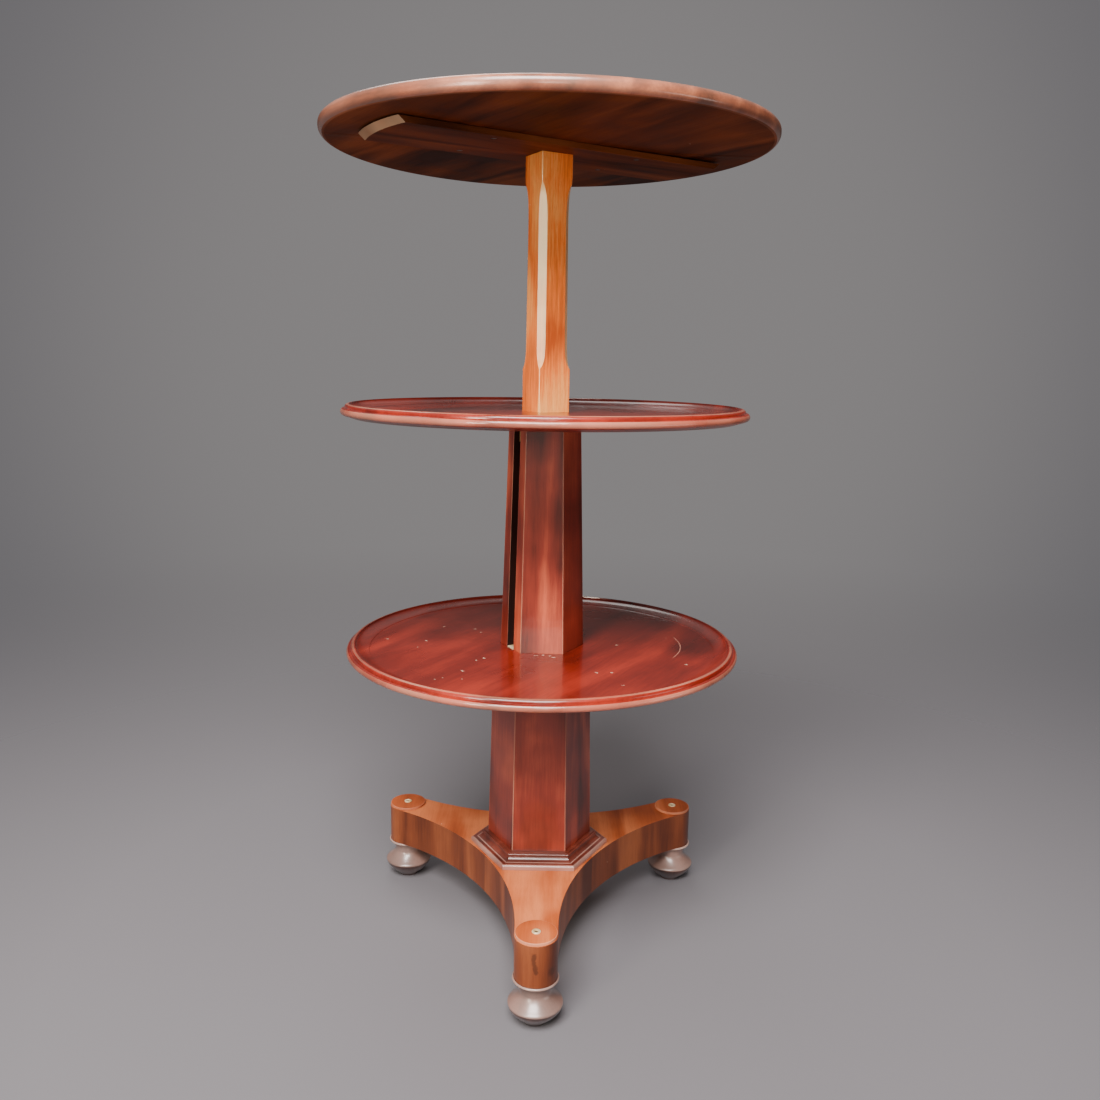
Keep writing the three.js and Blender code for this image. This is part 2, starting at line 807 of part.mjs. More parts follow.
const topDisc = turned([
  [0, topZ],
  ...arc(topRadius - topEdgeRadius, topZ + topEdgeRadius, topEdgeRadius, topEdgeRadius, -90, 0, 3),
  ...arc(topRadius - topEdgeRadius, topTop - topEdgeRadius, topEdgeRadius, topEdgeRadius, 0, 90, 3),
  [0, topTop],
], discSegments);
const battenZ = topZ - battenThickness;
const headMortise = pin(
  headTenonRadius + glueGap,
  battenZ - cutOverrun,
  topZ + headTenonLength + glueGap,
);
const battenDisc = turned([
  [0, battenZ],
  [battenReach - battenEndBevel, battenZ],
  [battenReach, topZ - glueGap],
  [0, topZ - glueGap],
], discSegments);
const battenStrip = block(
  -wedgeReach,
  wedgeReach,
  -battenWidth / 2,
  battenWidth / 2,
  battenZ - cutOverrun,
  topZ + cutOverrun,
).rotate([0, 0, battenAngle]);

// A sunk screw on the axis, or with a gap round it the hole that it needs.
const screwHeadBottom = battenZ + glueGap;
function battenScrew(gap, bottom) {
  return turned([
    [0, bottom],
    [battenScrewHeadRadius + gap, bottom],
    [battenScrewHeadRadius + gap, screwHeadBottom],
    [battenScrewRadius + gap, screwHeadBottom + battenScrewHeadHeight],
    [battenScrewRadius + gap, battenZ + battenScrewLength + gap],
    [0, battenZ + battenScrewLength + gap],
  ], pinSegments);
}

let topBoard = topDisc.subtract(headMortise);
let batten = battenDisc.intersect(battenStrip).subtract(headMortise);
const battenScrewHole = battenScrew(glueGap, battenZ - cutOverrun);
const battenScrewGeometry = toGeometry(battenScrew(0, screwHeadBottom));
const upward = new THREE.Vector3(0, 0, 1);
for (const [row, rowSign] of Object.entries({ front: -1, back: 1 })) {
  for (const [end, endSign] of Object.entries({ left: -1, right: 1 })) {
    const spot = new THREE.Vector3(endSign * battenScrewAlong, rowSign * battenScrewAcross, 0)
      .applyAxisAngle(upward, radians(battenAngle));
    const hole = battenScrewHole.translate(spot.toArray());
    topBoard = topBoard.subtract(hole);
    batten = batten.subtract(hole);
    place(topGroup, `batten_screw_${row}_${end}`, battenScrewGeometry, finishes.steel)
      .position.copy(spot);
  }
}
place(topGroup, 'top_board', toGeometry(topBoard), finishes.topMahogany);
place(topGroup, 'top_batten', toGeometry(batten), finishes.topMahogany);

// Post: square, tapering, with chamfers that stop short of both ends

const shoeTop = middleHeadZ - slideGap;
const shoeBottom = shoeTop - shoeHeight;
const shoeApothem = boreApothem - slideGap;
const postFoot = shoeTop + glueGap;
const postHead = battenZ - glueGap;

// A square with cut corners, as eight points at a height.
function postSection(z, side, chamfer) {
  const half = side / 2;
  const near = half - chamfer;
  return [
    [half, -near, z],
    [half, near, z],
    [near, half, z],
    [-near, half, z],
    [-half, near, z],
    [-half, -near, z],
    [-near, -half, z],
    [near, -half, z],
  ];
}

function post() {
  const lowTip = middleTrayZ + footStopHeight;
  const highTip = battenZ - headStopDepth;
  const blockZ = battenZ - postHeadBlock;
  const flareZ = blockZ - postFlareLength;
  const shaftSideAt = (z) => THREE.MathUtils.mapLinear(
    z,
    lowTip,
    flareZ,
    postShaftFootSide,
    postShaftHeadSide,
  );
  const legAt = (distance) => THREE.MathUtils.lerp(postArris, postChamfer, 1 - Math.exp(-distance));
  const lowStop = chamferShares.map((share) => {
    const z = lowTip + share * footTongueLength;
    return postSection(z, shaftSideAt(z), legAt(share));
  });
  const highStop = chamferShares.toReversed().map((share) => {
    const z = highTip - share * headTongueLength;
    const flare = THREE.MathUtils.smoothstep(z, flareZ, blockZ);
    const side = THREE.MathUtils.lerp(shaftSideAt(Math.min(z, flareZ)), postHeadSide, flare);
    return postSection(z, side, legAt(share));
  });
  const tipFlare = THREE.MathUtils.smoothstep(highTip, flareZ, blockZ);
  const tipSide = THREE.MathUtils.lerp(postShaftHeadSide, postHeadSide, tipFlare);
  return lofted([
    postSection(postFoot, postFootSide, postArris),
    postSection(lowTip, postFootSide, postArris),
    ...lowStop,
    ...highStop,
    postSection(highTip, tipSide, postArris),
    postSection(blockZ, postHeadSide, postArris),
    postSection(postHead, postHeadSide, postArris),
  ]).rotate([0, 0, postAngle]);
}

const tenonHole = pin(
  shoeScrewRadius + glueGap,
  shoeBottom - cutOverrun,
  shoeBottom + shoeScrewLength + glueGap,
);
const postSolid = post()
  .add(pin(headTenonRadius, postHead - cutOverrun, topZ + headTenonLength))
  .add(pin(postTenonRadius, shoeBottom, postFoot + cutOverrun))
  .subtract(tenonHole);
place(topGroup, 'post', toGeometry(postSolid), finishes.postMahogany);

// Shoe, its washer and screw, and its two springs

const shoeCrown = boreApothem - glueGap;
let shoe = hexagonal([
  [0, shoeBottom],
  [shoeApothem, shoeBottom],
  [shoeApothem, shoeTop],
  [0, shoeTop],
]).rotate([0, 0, springAngles.front]);
shoe = shoe.subtract(pin(postTenonRadius + glueGap, shoeBottom - cutOverrun, shoeTop + cutOverrun));
for (const degrees of Object.values(springAngles)) {
  shoe = shoe.subtract(springRecess(shoeCrown, shoeBottom, shoeTop).rotate([0, 0, degrees]));
}
place(topGroup, 'post_shoe', toGeometry(shoe), finishes.hiddenWood);

const shoeSpringGeometry = toGeometry(bowSpring(shoeCrown, shoeBottom, shoeTop));
for (const [side, degrees] of Object.entries(springAngles)) {
  place(topGroup, `post_spring_${side}`, shoeSpringGeometry, finishes.steel, degrees);
}

const washerTop = shoeBottom - glueGap;
const washerBottom = washerTop - shoeWasherThickness;
const washer = turned([
  [shoeScrewRadius + glueGap, washerBottom],
  [shoeWasherRadius, washerBottom],
  [shoeWasherRadius, washerTop],
  [shoeScrewRadius + glueGap, washerTop],
], pinSegments);
place(topGroup, 'shoe_washer', toGeometry(washer), finishes.steel);

const screwTop = washerBottom - glueGap;
const shoeScrew = turned([
  [0, screwTop - shoeScrewHeadHeight],
  [shoeScrewHeadRadius, screwTop - shoeScrewHeadHeight],
  [shoeScrewHeadRadius, screwTop],
  [shoeScrewRadius, screwTop],
  [shoeScrewRadius, shoeBottom + shoeScrewLength],
  [0, shoeBottom + shoeScrewLength],
], pinSegments);
place(topGroup, 'shoe_screw', toGeometry(shoeScrew), finishes.steel);

export default dumbwaiter;
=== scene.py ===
# %% [markdown]
# # A telescoping dumbwaiter table in mahogany
#
# Three round tiers stand on a column that slides into itself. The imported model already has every
# piece at its real size and place, but its rounds are faceted and its surfaces are bare. This
# lesson turns, mitres and polishes each piece again at the same sizes, and then gives every surface
# its wood, brass or steel.

# %% Load the fixed frame
import itertools
import json
import math

import bmesh
import bpy
from mathutils import Matrix, Quaternion, Vector


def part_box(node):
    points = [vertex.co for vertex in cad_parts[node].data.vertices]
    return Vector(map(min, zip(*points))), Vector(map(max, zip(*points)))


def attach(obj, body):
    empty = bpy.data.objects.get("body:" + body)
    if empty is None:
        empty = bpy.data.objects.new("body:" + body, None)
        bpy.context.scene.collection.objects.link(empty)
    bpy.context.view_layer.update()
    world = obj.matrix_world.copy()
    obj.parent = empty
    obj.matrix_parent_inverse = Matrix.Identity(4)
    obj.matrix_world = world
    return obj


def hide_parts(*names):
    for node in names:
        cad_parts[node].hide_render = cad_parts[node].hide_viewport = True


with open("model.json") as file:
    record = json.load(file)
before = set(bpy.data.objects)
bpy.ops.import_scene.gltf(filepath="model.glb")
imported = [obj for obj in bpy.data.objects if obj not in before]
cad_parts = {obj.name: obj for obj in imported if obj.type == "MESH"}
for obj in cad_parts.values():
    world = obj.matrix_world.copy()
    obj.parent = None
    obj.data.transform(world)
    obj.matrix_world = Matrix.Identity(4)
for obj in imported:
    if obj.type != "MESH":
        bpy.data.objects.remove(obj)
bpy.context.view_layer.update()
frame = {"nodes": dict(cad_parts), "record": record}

# %% [markdown]
# ## The camera
#
# The photograph was taken by someone standing in front of the table, with the camera a little above
# the middle tray and tipped down. The camera is placed by its measured position, turned down about
# its own X axis, and then rolled by a degree about the way it looks. The lens is given as on a
# full-frame body, whose sensor is 36 mm wide.

# %% Camera
MM = 0.001
CAMERA_PLACE = Vector((9.6, -1424.6, 851.1)) * MM
CAMERA_TIP = math.radians(10.82)
CAMERA_ROLL = math.radians(0.945)
CAMERA_LENS_MM = 32.67
SENSOR_MM = 36


def linked(name, data):
    """A new object in the scene that shows some data."""
    made = bpy.data.objects.new(name, data)
    bpy.context.scene.collection.objects.link(made)
    return made


camera = linked("camera", bpy.data.cameras.new("camera"))
camera.data.lens = CAMERA_LENS_MM
camera.data.sensor_width = SENSOR_MM
camera.location = CAMERA_PLACE
camera.rotation_mode = "QUATERNION"
upright = Quaternion((1, 0, 0), math.pi / 2 - CAMERA_TIP)
camera.rotation_quaternion = upright @ Quaternion((0, 0, 1), CAMERA_ROLL)
bpy.context.scene.camera = camera
print("camera at", [round(x, 3) for x in camera.location])

# %% [markdown]
# ## Helpers for materials
#
# A material is a small graph of nodes. One helper adds a node and sets its sockets: a socket that
# is given another node's output is linked to it, and one that is given a value keeps it. The others
# are the few nodes that come back again and again: mixing two colours, one sum, stretching a number
# from one range onto another, a colour for each height of a number, noise, and sums on places.

# %% Colours and nodes
MIX_SHARE, MIX_FIRST, MIX_SECOND, MIX_RESULT = 0, 6, 7, 2


def srgb(red, green, blue):
    """A colour as read off a screen, 0 to 255, in the linear numbers that shaders use."""
    def linear(value):
        share = value / 255
        return share / 12.92 if share <= 0.04045 else ((share + 0.055) / 1.055) ** 2.4
    return (linear(red), linear(green), linear(blue), 1)


def add(tree, kind, sockets=None, **settings):
    """Adds a shader node. A socket that is given an output is linked, and one given a value set."""
    made = tree.nodes.new("ShaderNode" + kind)
    for name, value in settings.items():
        setattr(made, name, value)
    for name, value in (sockets or {}).items():
        if isinstance(value, bpy.types.NodeSocket):
            tree.links.new(value, made.inputs[name])
        else:
            made.inputs[name].default_value = value
    return made


def mix(tree, share, first, second):
    """Mixes two colours by a share and gives the mixed colour's output."""
    sockets = {MIX_SHARE: share, MIX_FIRST: first, MIX_SECOND: second}
    return add(tree, "Mix", sockets, data_type="RGBA", clamp_result=True).outputs[MIX_RESULT]


def maths(tree, operation, first, second=0.0):
    """One sum on one or two numbers."""
    return add(tree, "Math", {0: first, 1: second}, operation=operation).outputs["Value"]


def spread(tree, value, low, high, to_low=0.0, to_high=1.0, **settings):
    """Stretches a number from one range onto another, and holds it inside that range."""
    return add(tree, "MapRange", {
        "Value": value, "From Min": low, "From Max": high, "To Min": to_low, "To Max": to_high,
    }, **settings).outputs["Result"]


print("a mid grey on screen is", round(srgb(128, 128, 128)[0], 3), "in a shader")

# %% Ramps, noise and places
def ramp(tree, value, stops):
    """A colour for each height of a number: stops is a list of (height, colour)."""
    made = add(tree, "ValToRGB", {"Fac": value})
    band = made.color_ramp
    for _ in stops[2:]:
        band.elements.new(0.5)
    for element, (height, colour) in zip(band.elements, stops):
        element.position = height
        element.color = colour
    return made.outputs["Color"]


def noise(tree, place, scale, detail, roughness=0.5, distortion=0.0):
    """Soft blots. A larger scale makes smaller ones, and detail adds finer ones inside them."""
    return add(tree, "TexNoise", {
        "Vector": place, "Scale": scale, "Detail": detail, "Roughness": roughness,
        "Distortion": distortion,
    }).outputs


def on_object(tree):
    """The place on the piece itself, in metres, so that a pattern moves with its piece."""
    return add(tree, "TexCoord").outputs["Object"]


def squeezed(tree, place, scale):
    """A place with scaled coordinates. Where they grow, a pattern on them is squeezed."""
    return add(tree, "Mapping", {"Vector": place, "Scale": scale}).outputs["Vector"]


def pushed(tree, place, step, size):
    """A place pushed along a step, which is scaled first."""
    step = add(tree, "VectorMath", {0: step, "Scale": size}, operation="SCALE").outputs[0]
    return add(tree, "VectorMath", {0: place, 1: step}, operation="ADD").outputs[0]


def distance(tree, place, centre=(0, 0, 0)):
    """How far a place lies from a centre."""
    return add(tree, "VectorMath", {0: place, 1: centre}, operation="DISTANCE").outputs["Value"]


def new_material(name):
    """An empty material with its shader and output joined up."""
    material = bpy.data.materials.new(name)
    material.use_nodes = True
    tree = material.node_tree
    tree.nodes.clear()
    shader = add(tree, "BsdfPrincipled")
    add(tree, "OutputMaterial", {"Surface": shader.outputs["BSDF"]})
    return material, tree, shader


print("materials so far:", len(bpy.data.materials))

# %% [markdown]
# ## Small marks
#
# An old table has nicks, a scratch and sparse pale specks. Nicks are laid at chosen places: the
# distance to the nearest place is turned into a mask, after noise has pushed the surface's own
# coordinates about a little, which makes each round spot ragged. Specks need no places. A Voronoi
# pattern cuts the surface into cells, and a few of them get one.

# %% Chips and specks
RAGGED_SCALE = 260
HALF = (0.5, 0.5, 0.5)
FAR_OFF = 1.0


def chips(tree, place, spots, size, ragged_by=9 * MM):
    """A mask of small ragged marks at places given in millimetres."""
    ragged = noise(tree, place, RAGGED_SCALE, 2)["Color"]
    ragged = add(tree, "VectorMath", {0: ragged, 1: HALF}, operation="SUBTRACT").outputs[0]
    moved = pushed(tree, place, ragged, ragged_by)
    nearest = FAR_OFF
    for spot in spots:
        gap = distance(tree, moved, tuple(x * MM for x in spot))
        nearest = maths(tree, "MINIMUM", gap, nearest)
    return spread(tree, nearest, 0.5 * size, size, 1, 0)


def specks(tree, place, scale, share, size):
    """A mask of sparse small marks: a few of the cells of a Voronoi pattern have one."""
    cells = add(tree, "TexVoronoi", {"Vector": place, "Scale": scale, "Randomness": 1.0})
    chosen = add(tree, "SeparateColor", {"Color": cells.outputs["Color"]}).outputs["Red"]
    chosen = maths(tree, "LESS_THAN", chosen, share)
    near = spread(tree, cells.outputs["Distance"], 0.5 * size, size, 1, 0)
    return maths(tree, "MULTIPLY", near, chosen)


print("the ragged noise has blots of about", round(1 / (RAGGED_SCALE * MM), 1), "mm")

# %% [markdown]
# ## Mahogany
#
# Polished mahogany is the look of this table. The wood has long soft bands of darker and lighter
# colour, finer streaks inside them, and short open pores. Over it lies a hard, clear polish that
# mirrors the room. So the material draws noise on coordinates that are squeezed across the grain,
# which pulls every blot into a streak, and adds a coat on top for the polish.
#
# Each board is cut from another part of the tree. Every piece carries a number called board, which
# moves the pattern, so that the grain breaks at each joint as it does on real staves. Each piece
# also carries a number for how pale it is painted. It is high where hands have rubbed the polish
# pale, and where a painted highlight stands for light caught on an edge or a curve, on narrow
# arrises above all.

# %% The wood recipe
GRAIN_UP = (0, 0, 0)
BOARD_STEP = (3.7, 5.3, 2.9)
BAND_SQUEEZE = (9, 9, 1.3)
STREAK_SQUEEZE = (22, 22, 1.2)
STREAK_SCALE = 14
PORE_SCALE = 60
PORE_DEPTH = 0.06
CLOUD_SCALE = 7
SPECK_SCALE = 38
SPECK_SIZE = 0.045
CHIP_SIZE = 2.4 * MM
MARK_COLOUR = srgb(240, 205, 180)


def swing(tree, value, strength):
    """A noise value made to swing about nought."""
    return maths(tree, "MULTIPLY", maths(tree, "SUBTRACT", value, 0.5), strength)


def wood(name, dark, middle, light, worn_and_sheen, grain=GRAIN_UP, figure=3.0, streak=1.0, cloud=0.35,
         roughness=0.32, coat=0.6, coat_roughness=0.1, wear_and_sheen=0.6, specular=0.5, spots=(),
         speck_share=0.12):
    """A polished wood. grain turns the long way of the grain away from upright, in degrees."""
    material, tree, shader = new_material(name)
    place = on_object(tree)
    board = add(tree, "Attribute", attribute_name="board").outputs["Fac"]
    wear_and_sheen_share = add(tree, "Attribute", attribute_name="wear_and_sheen").outputs["Fac"]
    moved = pushed(tree, place, BOARD_STEP, board)
    turn = tuple(math.radians(x) for x in grain)
    turned = add(tree, "Mapping", {"Vector": moved, "Rotation": turn}).outputs["Vector"]
    fine = squeezed(tree, turned, STREAK_SQUEEZE)
    bands = noise(tree, squeezed(tree, turned, BAND_SQUEEZE), figure, 2, 0.4, 0.9)["Fac"]
    streaks = noise(tree, fine, STREAK_SCALE, 4, 0.6)["Fac"]
    pores = noise(tree, fine, PORE_SCALE, 2)["Fac"]
    clouds = noise(tree, moved, CLOUD_SCALE, 3, 0.55)["Fac"]

    tone = maths(tree, "ADD", bands, swing(tree, streaks, 0.4 * streak))
    tone = maths(tree, "ADD", tone, swing(tree, clouds, cloud))
    colour = ramp(tree, tone, [(0.28, dark), (0.5, middle), (0.72, light)])
    colour = mix(tree, spread(tree, pores, 0.36, 0.46, 0.25 * streak, 0), colour, dark)
    patchy = spread(tree, clouds, 0.35, 0.65, 0.35, 1)
    # The worn colour stands for rubbed polish and also for painted highlights on edges and curves.
    wear_and_sheen_share = maths(tree, "MULTIPLY", maths(tree, "MULTIPLY", wear_and_sheen_share, patchy), wear_and_sheen)
    colour = mix(tree, wear_and_sheen_share, colour, worn_and_sheen)
    marks = specks(tree, place, SPECK_SCALE, speck_share, SPECK_SIZE)
    if spots:
        marks = maths(tree, "MAXIMUM", marks, chips(tree, place, spots, CHIP_SIZE))
    colour = mix(tree, maths(tree, "MULTIPLY", marks, 0.75), colour, MARK_COLOUR)

    gloss = spread(tree, clouds, 0.3, 0.7, roughness - 0.06, roughness + 0.1)
    relief = maths(tree, "ADD", maths(tree, "MULTIPLY", pores, 0.6), streaks)
    bump = add(tree, "Bump", {"Height": relief, "Strength": PORE_DEPTH, "Distance": 0.4 * MM})
    tree.links.new(colour, shader.inputs["Base Color"])
    tree.links.new(gloss, shader.inputs["Roughness"])
    tree.links.new(bump.outputs["Normal"], shader.inputs["Normal"])
    shader.inputs["Specular IOR Level"].default_value = specular
    shader.inputs["Coat Weight"].default_value = coat
    shader.inputs["Coat Roughness"].default_value = coat_roughness
    return material


def retouch(material, share, colour):
    """Lays another colour over a wood, by a share from 0 to 1."""
    tree = material.node_tree
    base = tree.nodes["Principled BSDF"].inputs["Base Color"]
    tree.links.new(mix(tree, share, base.links[0].from_socket, colour), base)


# A pale colour for rubbed polish that also serves as a painted highlight on edges and curves.
WORN_AND_SHEEN = srgb(232, 172, 142)
print("grain bands are pulled out", round(BAND_SQUEEZE[0] / BAND_SQUEEZE[2], 1), "times")

# %% [markdown]
# ## The columns' wood
#
# Both columns are veneered in the same red-brown wood. The lower one is painted darker towards its
# head as painted shade under the tray: a second colour is laid over it by height. It ends just
# under the tray's floor, so that the inner column keeps its own colour. The bores have bare, dark
# wood, made darker still as painted shade, which shows through the slot.

# %% Column and bore
PAINTED_SHADE_FROM = 0.2
PAINTED_SHADE_FULL = 0.4
PAINTED_SHADE_END = 0.43

column_wood = wood(
    "column_mahogany", srgb(74, 21, 14), srgb(140, 50, 34), srgb(206, 96, 64), WORN_AND_SHEEN,
    figure=1.7, streak=0.5, cloud=0.7, roughness=0.36, coat=0.5, specular=0.4,
)
tree = column_wood.node_tree
height = add(tree, "SeparateXYZ", {"Vector": on_object(tree)}).outputs["Z"]
# Painted shade under the tray: a darker colour laid over the lower column by height.
shade = spread(tree, height, PAINTED_SHADE_FROM, PAINTED_SHADE_FULL, 0, 0.5)
shade = maths(tree, "MULTIPLY", shade, maths(tree, "LESS_THAN", height, PAINTED_SHADE_END))
retouch(column_wood, shade, srgb(58, 20, 12))
# Bare wood for the bores, made nearly black as painted shade inside the hollow column and its slot.
bore_wood_and_shade = wood(
    "bore_wood_and_painted_shade", srgb(24, 8, 5), srgb(40, 14, 9), srgb(58, 22, 14), WORN_AND_SHEEN,
    streak=0.6, roughness=0.7, coat=0.0, specular=0.2, wear_and_sheen=0.0, speck_share=0.0,
)
print("column woods:", column_wood.name, bore_wood_and_shade.name)

# %% [markdown]
# ## The trays' wood
#
# The trays are redder. Towards the back they are painted darker, as painted shade from the tier
# above. The floor of the bottom one is nicked, most of all round the column, and a curved scratch
# crosses it on the right. The scratch is the thin line where the distance to a centre equals a
# radius. Ramps on X, Y and Z keep it to a short stretch.

# %% Trays with nicks and a scratch
TRAY_FLOOR = 438
NICKS = ((-236, 124), (-231, 10), (-154, 84), (-105, 73), (-94, 56), (-172, 4), (-81, -79),
         (-90, -91), (-105, -139), (-138, -177), (110, -3), (75, -138), (96, -136), (17, -71),
         (201, -94), (108, -189), (-8, -62), (2, -60), (12, -64))
SCRATCH_CENTRE = (0.0638, 0.007, 0)
SCRATCH_RADIUS = 0.1406
SCRATCH_ENDS = (("X", 0.183, 0.19), ("Y", -0.066, -0.06), ("Y", 0.046, 0.04), ("Z", 0.5, 0.49))

tray_wood = wood(
    "tray_mahogany", srgb(74, 15, 9), srgb(118, 27, 16), srgb(158, 44, 27), WORN_AND_SHEEN,
    grain=(90, -30, 0), figure=1.4, streak=0.8, cloud=0.5, roughness=0.28, coat=0.6, specular=0.4,
    speck_share=0.35, spots=[(x, y, TRAY_FLOOR) for x, y in NICKS],
)
tree = tray_wood.node_tree
place = on_object(tree)
axes = add(tree, "SeparateXYZ", {"Vector": place}).outputs
# Painted shade: both trays are darker towards the back, where the tier above shades them.
retouch(tray_wood, spread(tree, axes["Y"], -0.04, 0.14, 0, 0.5), srgb(52, 14, 10))
away = distance(tree, squeezed(tree, place, (1, 1, 0)), SCRATCH_CENTRE)
off_line = maths(tree, "ABSOLUTE", maths(tree, "SUBTRACT", away, SCRATCH_RADIUS))
scratch = spread(tree, off_line, 0.3 * MM, 0.9 * MM, 0.6, 0)
for axis, nothing, full in SCRATCH_ENDS:
    scratch = maths(tree, "MULTIPLY", scratch, spread(tree, axes[axis], nothing, full))
retouch(tray_wood, scratch, srgb(228, 160, 138))
print("tray wood:", tray_wood.name, "with", len(NICKS), "nicks")

# %% [markdown]
# ## The plinth's woods
#
# The plinth's tops are plain brown mahogany and its sides are veneered upright. On the front arm's
# round end, a dark plug fills an old hole, and a stain runs down beside it. Both are chips of a
# darker colour: the plug is one spot, and the stain a row of them on a gently waving line.

# %% Plinth and moulding
PLUG = ((21, -273, 83),)
STAIN = [(-1 + 1.6 * math.sin(z / 6), -282, z) for z in range(86, 112, 2)]

plinth_wood = wood(
    "plinth_mahogany", srgb(122, 50, 20), srgb(178, 86, 42), srgb(216, 124, 74), WORN_AND_SHEEN,
    grain=(90, -180, 0), figure=1.8, streak=0.45, cloud=0.6, roughness=0.4, coat=0.05,
    specular=0.15,
)
plinth_side_wood = wood(
    "plinth_side_veneer", srgb(78, 34, 16), srgb(114, 56, 28), srgb(146, 80, 44), WORN_AND_SHEEN,
    figure=2.2, streak=0.6, cloud=0.5, roughness=0.42, coat=0.15, coat_roughness=0.2,
    specular=0.35,
)
tree = plinth_side_wood.node_tree
place = on_object(tree)
plug = chips(tree, place, PLUG, 8 * MM, 2 * MM)
stain = maths(tree, "MAXIMUM", plug, chips(tree, place, STAIN, 4 * MM, 5 * MM))
retouch(plinth_side_wood, maths(tree, "MULTIPLY", stain, 0.6), srgb(48, 24, 14))
# The moulding's pale colour is mostly a painted highlight on the bead, with some wear.
moulding_wood = wood(
    "moulding_mahogany", srgb(62, 24, 17), srgb(106, 45, 32), srgb(142, 67, 50),
    srgb(240, 195, 178), grain=(90, -90, 0), streak=0.6, roughness=0.34, coat=0.7,
    coat_roughness=0.2, wear_and_sheen=0.8,
)
print("plinth woods:", plinth_wood.name, plinth_side_wood.name, moulding_wood.name)

# %% [markdown]
# ## The other woods
#
# The top is polished on its upper side and left dull below, where the batten lies. The post is the
# palest and most golden piece. Its chamfers are painted a straw colour, partly as wear and partly
# as a painted highlight. The feet are stained nearly black. What never shows, such as the board
# below the plinth, is plain secondary wood.

# %% Top, post, feet and hidden wood
top_wood = wood(
    "top_mahogany", srgb(74, 32, 19), srgb(126, 62, 38), srgb(172, 98, 64), srgb(240, 186, 156),
    grain=(90, -147, 0), figure=2.4, streak=0.8, roughness=0.3, coat=0.8, coat_roughness=0.2,
)
under_wood = wood(
    "top_underside", srgb(58, 26, 10), srgb(104, 53, 24), srgb(138, 76, 38), WORN_AND_SHEEN,
    grain=(90, -147, 0), figure=1.8, streak=0.5, cloud=0.7, roughness=0.6, coat=0.0, specular=0.1,
    speck_share=0.03,
)
# The batten's pale colour is a painted sheen on its bevelled ends.
batten_wood = wood(
    "batten_mahogany", srgb(58, 26, 10), srgb(102, 52, 24), srgb(134, 74, 38), srgb(200, 172, 140),
    grain=(90, -57.4, 0), figure=2.4, streak=0.5, roughness=0.6, coat=0.0, specular=0.1, wear_and_sheen=0.8,
    speck_share=0.03,
)
post_wood = wood(
    "post_mahogany", srgb(178, 78, 24), srgb(240, 126, 46), srgb(255, 182, 98), srgb(255, 232, 170),
    figure=2.0, streak=1.2, cloud=0.5, roughness=0.4, coat=0.35, coat_roughness=0.16, specular=0.2,
    wear_and_sheen=1.0,
)
# The feet's pale colour is a painted sheen on the flare and a partly worn, partly highlighted
# collar edge.
foot_wood = wood(
    "foot_ebonised", srgb(34, 20, 17), srgb(62, 38, 32), srgb(98, 66, 56), srgb(214, 180, 168),
    figure=2.6, streak=0.9, roughness=0.34, coat=1.0, coat_roughness=0.22, wear_and_sheen=0.8,
)
plain_wood = wood(
    "hidden_beech", srgb(120, 88, 54), srgb(158, 120, 78), srgb(186, 148, 100), srgb(200, 170, 130),
    roughness=0.7, coat=0.0, wear_and_sheen=0.1,
)
print("woods:", [m.name for m in bpy.data.materials])

# %% [markdown]
# ## Brass and steel
#
# The rings on the pads are old brass, brighter in some soft blots and browner in others.
# The screws and springs are plain steel with a grey bloom. Both are metals, so nearly all of their
# look is in how the roughness changes from place to place.

# %% Metals
def metal(name, clean, dull, roughness, scale, metallic):
    """A metal whose colour and roughness change in soft blots."""
    material, tree, shader = new_material(name)
    place = on_object(tree)
    blots = noise(tree, place, scale, 4)["Fac"]
    scratches = noise(tree, place, 6 * scale, 2)["Fac"]
    shade = spread(tree, blots, 0.35, 0.65)
    tree.links.new(mix(tree, shade, clean, dull), shader.inputs["Base Color"])
    rough = spread(tree, blots, 0.3, 0.7, roughness - 0.1, roughness + 0.15)
    tree.links.new(rough, shader.inputs["Roughness"])
    bump = add(tree, "Bump", {"Height": scratches, "Strength": 0.15, "Distance": 0.1 * MM})
    tree.links.new(bump.outputs["Normal"], shader.inputs["Normal"])
    shader.inputs["Metallic"].default_value = metallic
    return material


brass = metal("old_brass", srgb(248, 232, 196), srgb(206, 176, 124), 0.5, 90, 0.35)
steel = metal("plain_steel", srgb(130, 126, 120), srgb(70, 62, 56), 0.45, 60, 1.0)
print("metals:", brass.name, steel.name)

# %% [markdown]
# ## How a piece is finished
#
# Every piece is modelled in a bmesh, which is Blender's mesh for editing. The last step is the same
# for all of them: weld what lies on itself, turn the faces outwards, write the mesh to an object at
# the origin, shade it smooth except at its edges, and let it ride on its body in place of the
# faceted node. How pale a face is painted stands in a number that each face corner holds: partly
# wear, where hands have rubbed the polish, and partly a painted highlight. A bevelled arris gets it
# as it is made, and other pale places are picked by where they lie. The finish stores the piece's
# own board number beside it.

# %% Wear and finish
WELD = 0.001 * MM
EDGE_ANGLE = math.radians(32)
BOARD_SPACING = 0.618
BODY_OF = {node: body for body, nodes in frame["record"]["behaviour"]["bodies"].items()
           for node in nodes}
SLOT_OF = {row["node"]: row["material_slot"] for row in frame["record"]["subparts"]}
MATERIAL_OF_SLOT = {
    "top_wood": top_wood,
    "tray_wood": tray_wood,
    "column_wood": column_wood,
    "post_wood": post_wood,
    "plinth_wood": plinth_wood,
    "moulding_wood": moulding_wood,
    "hidden_wood": plain_wood,
    "ebonised_wood": foot_wood,
    "brass": brass,
    "steel": steel,
}
board_numbers = itertools.count(1)


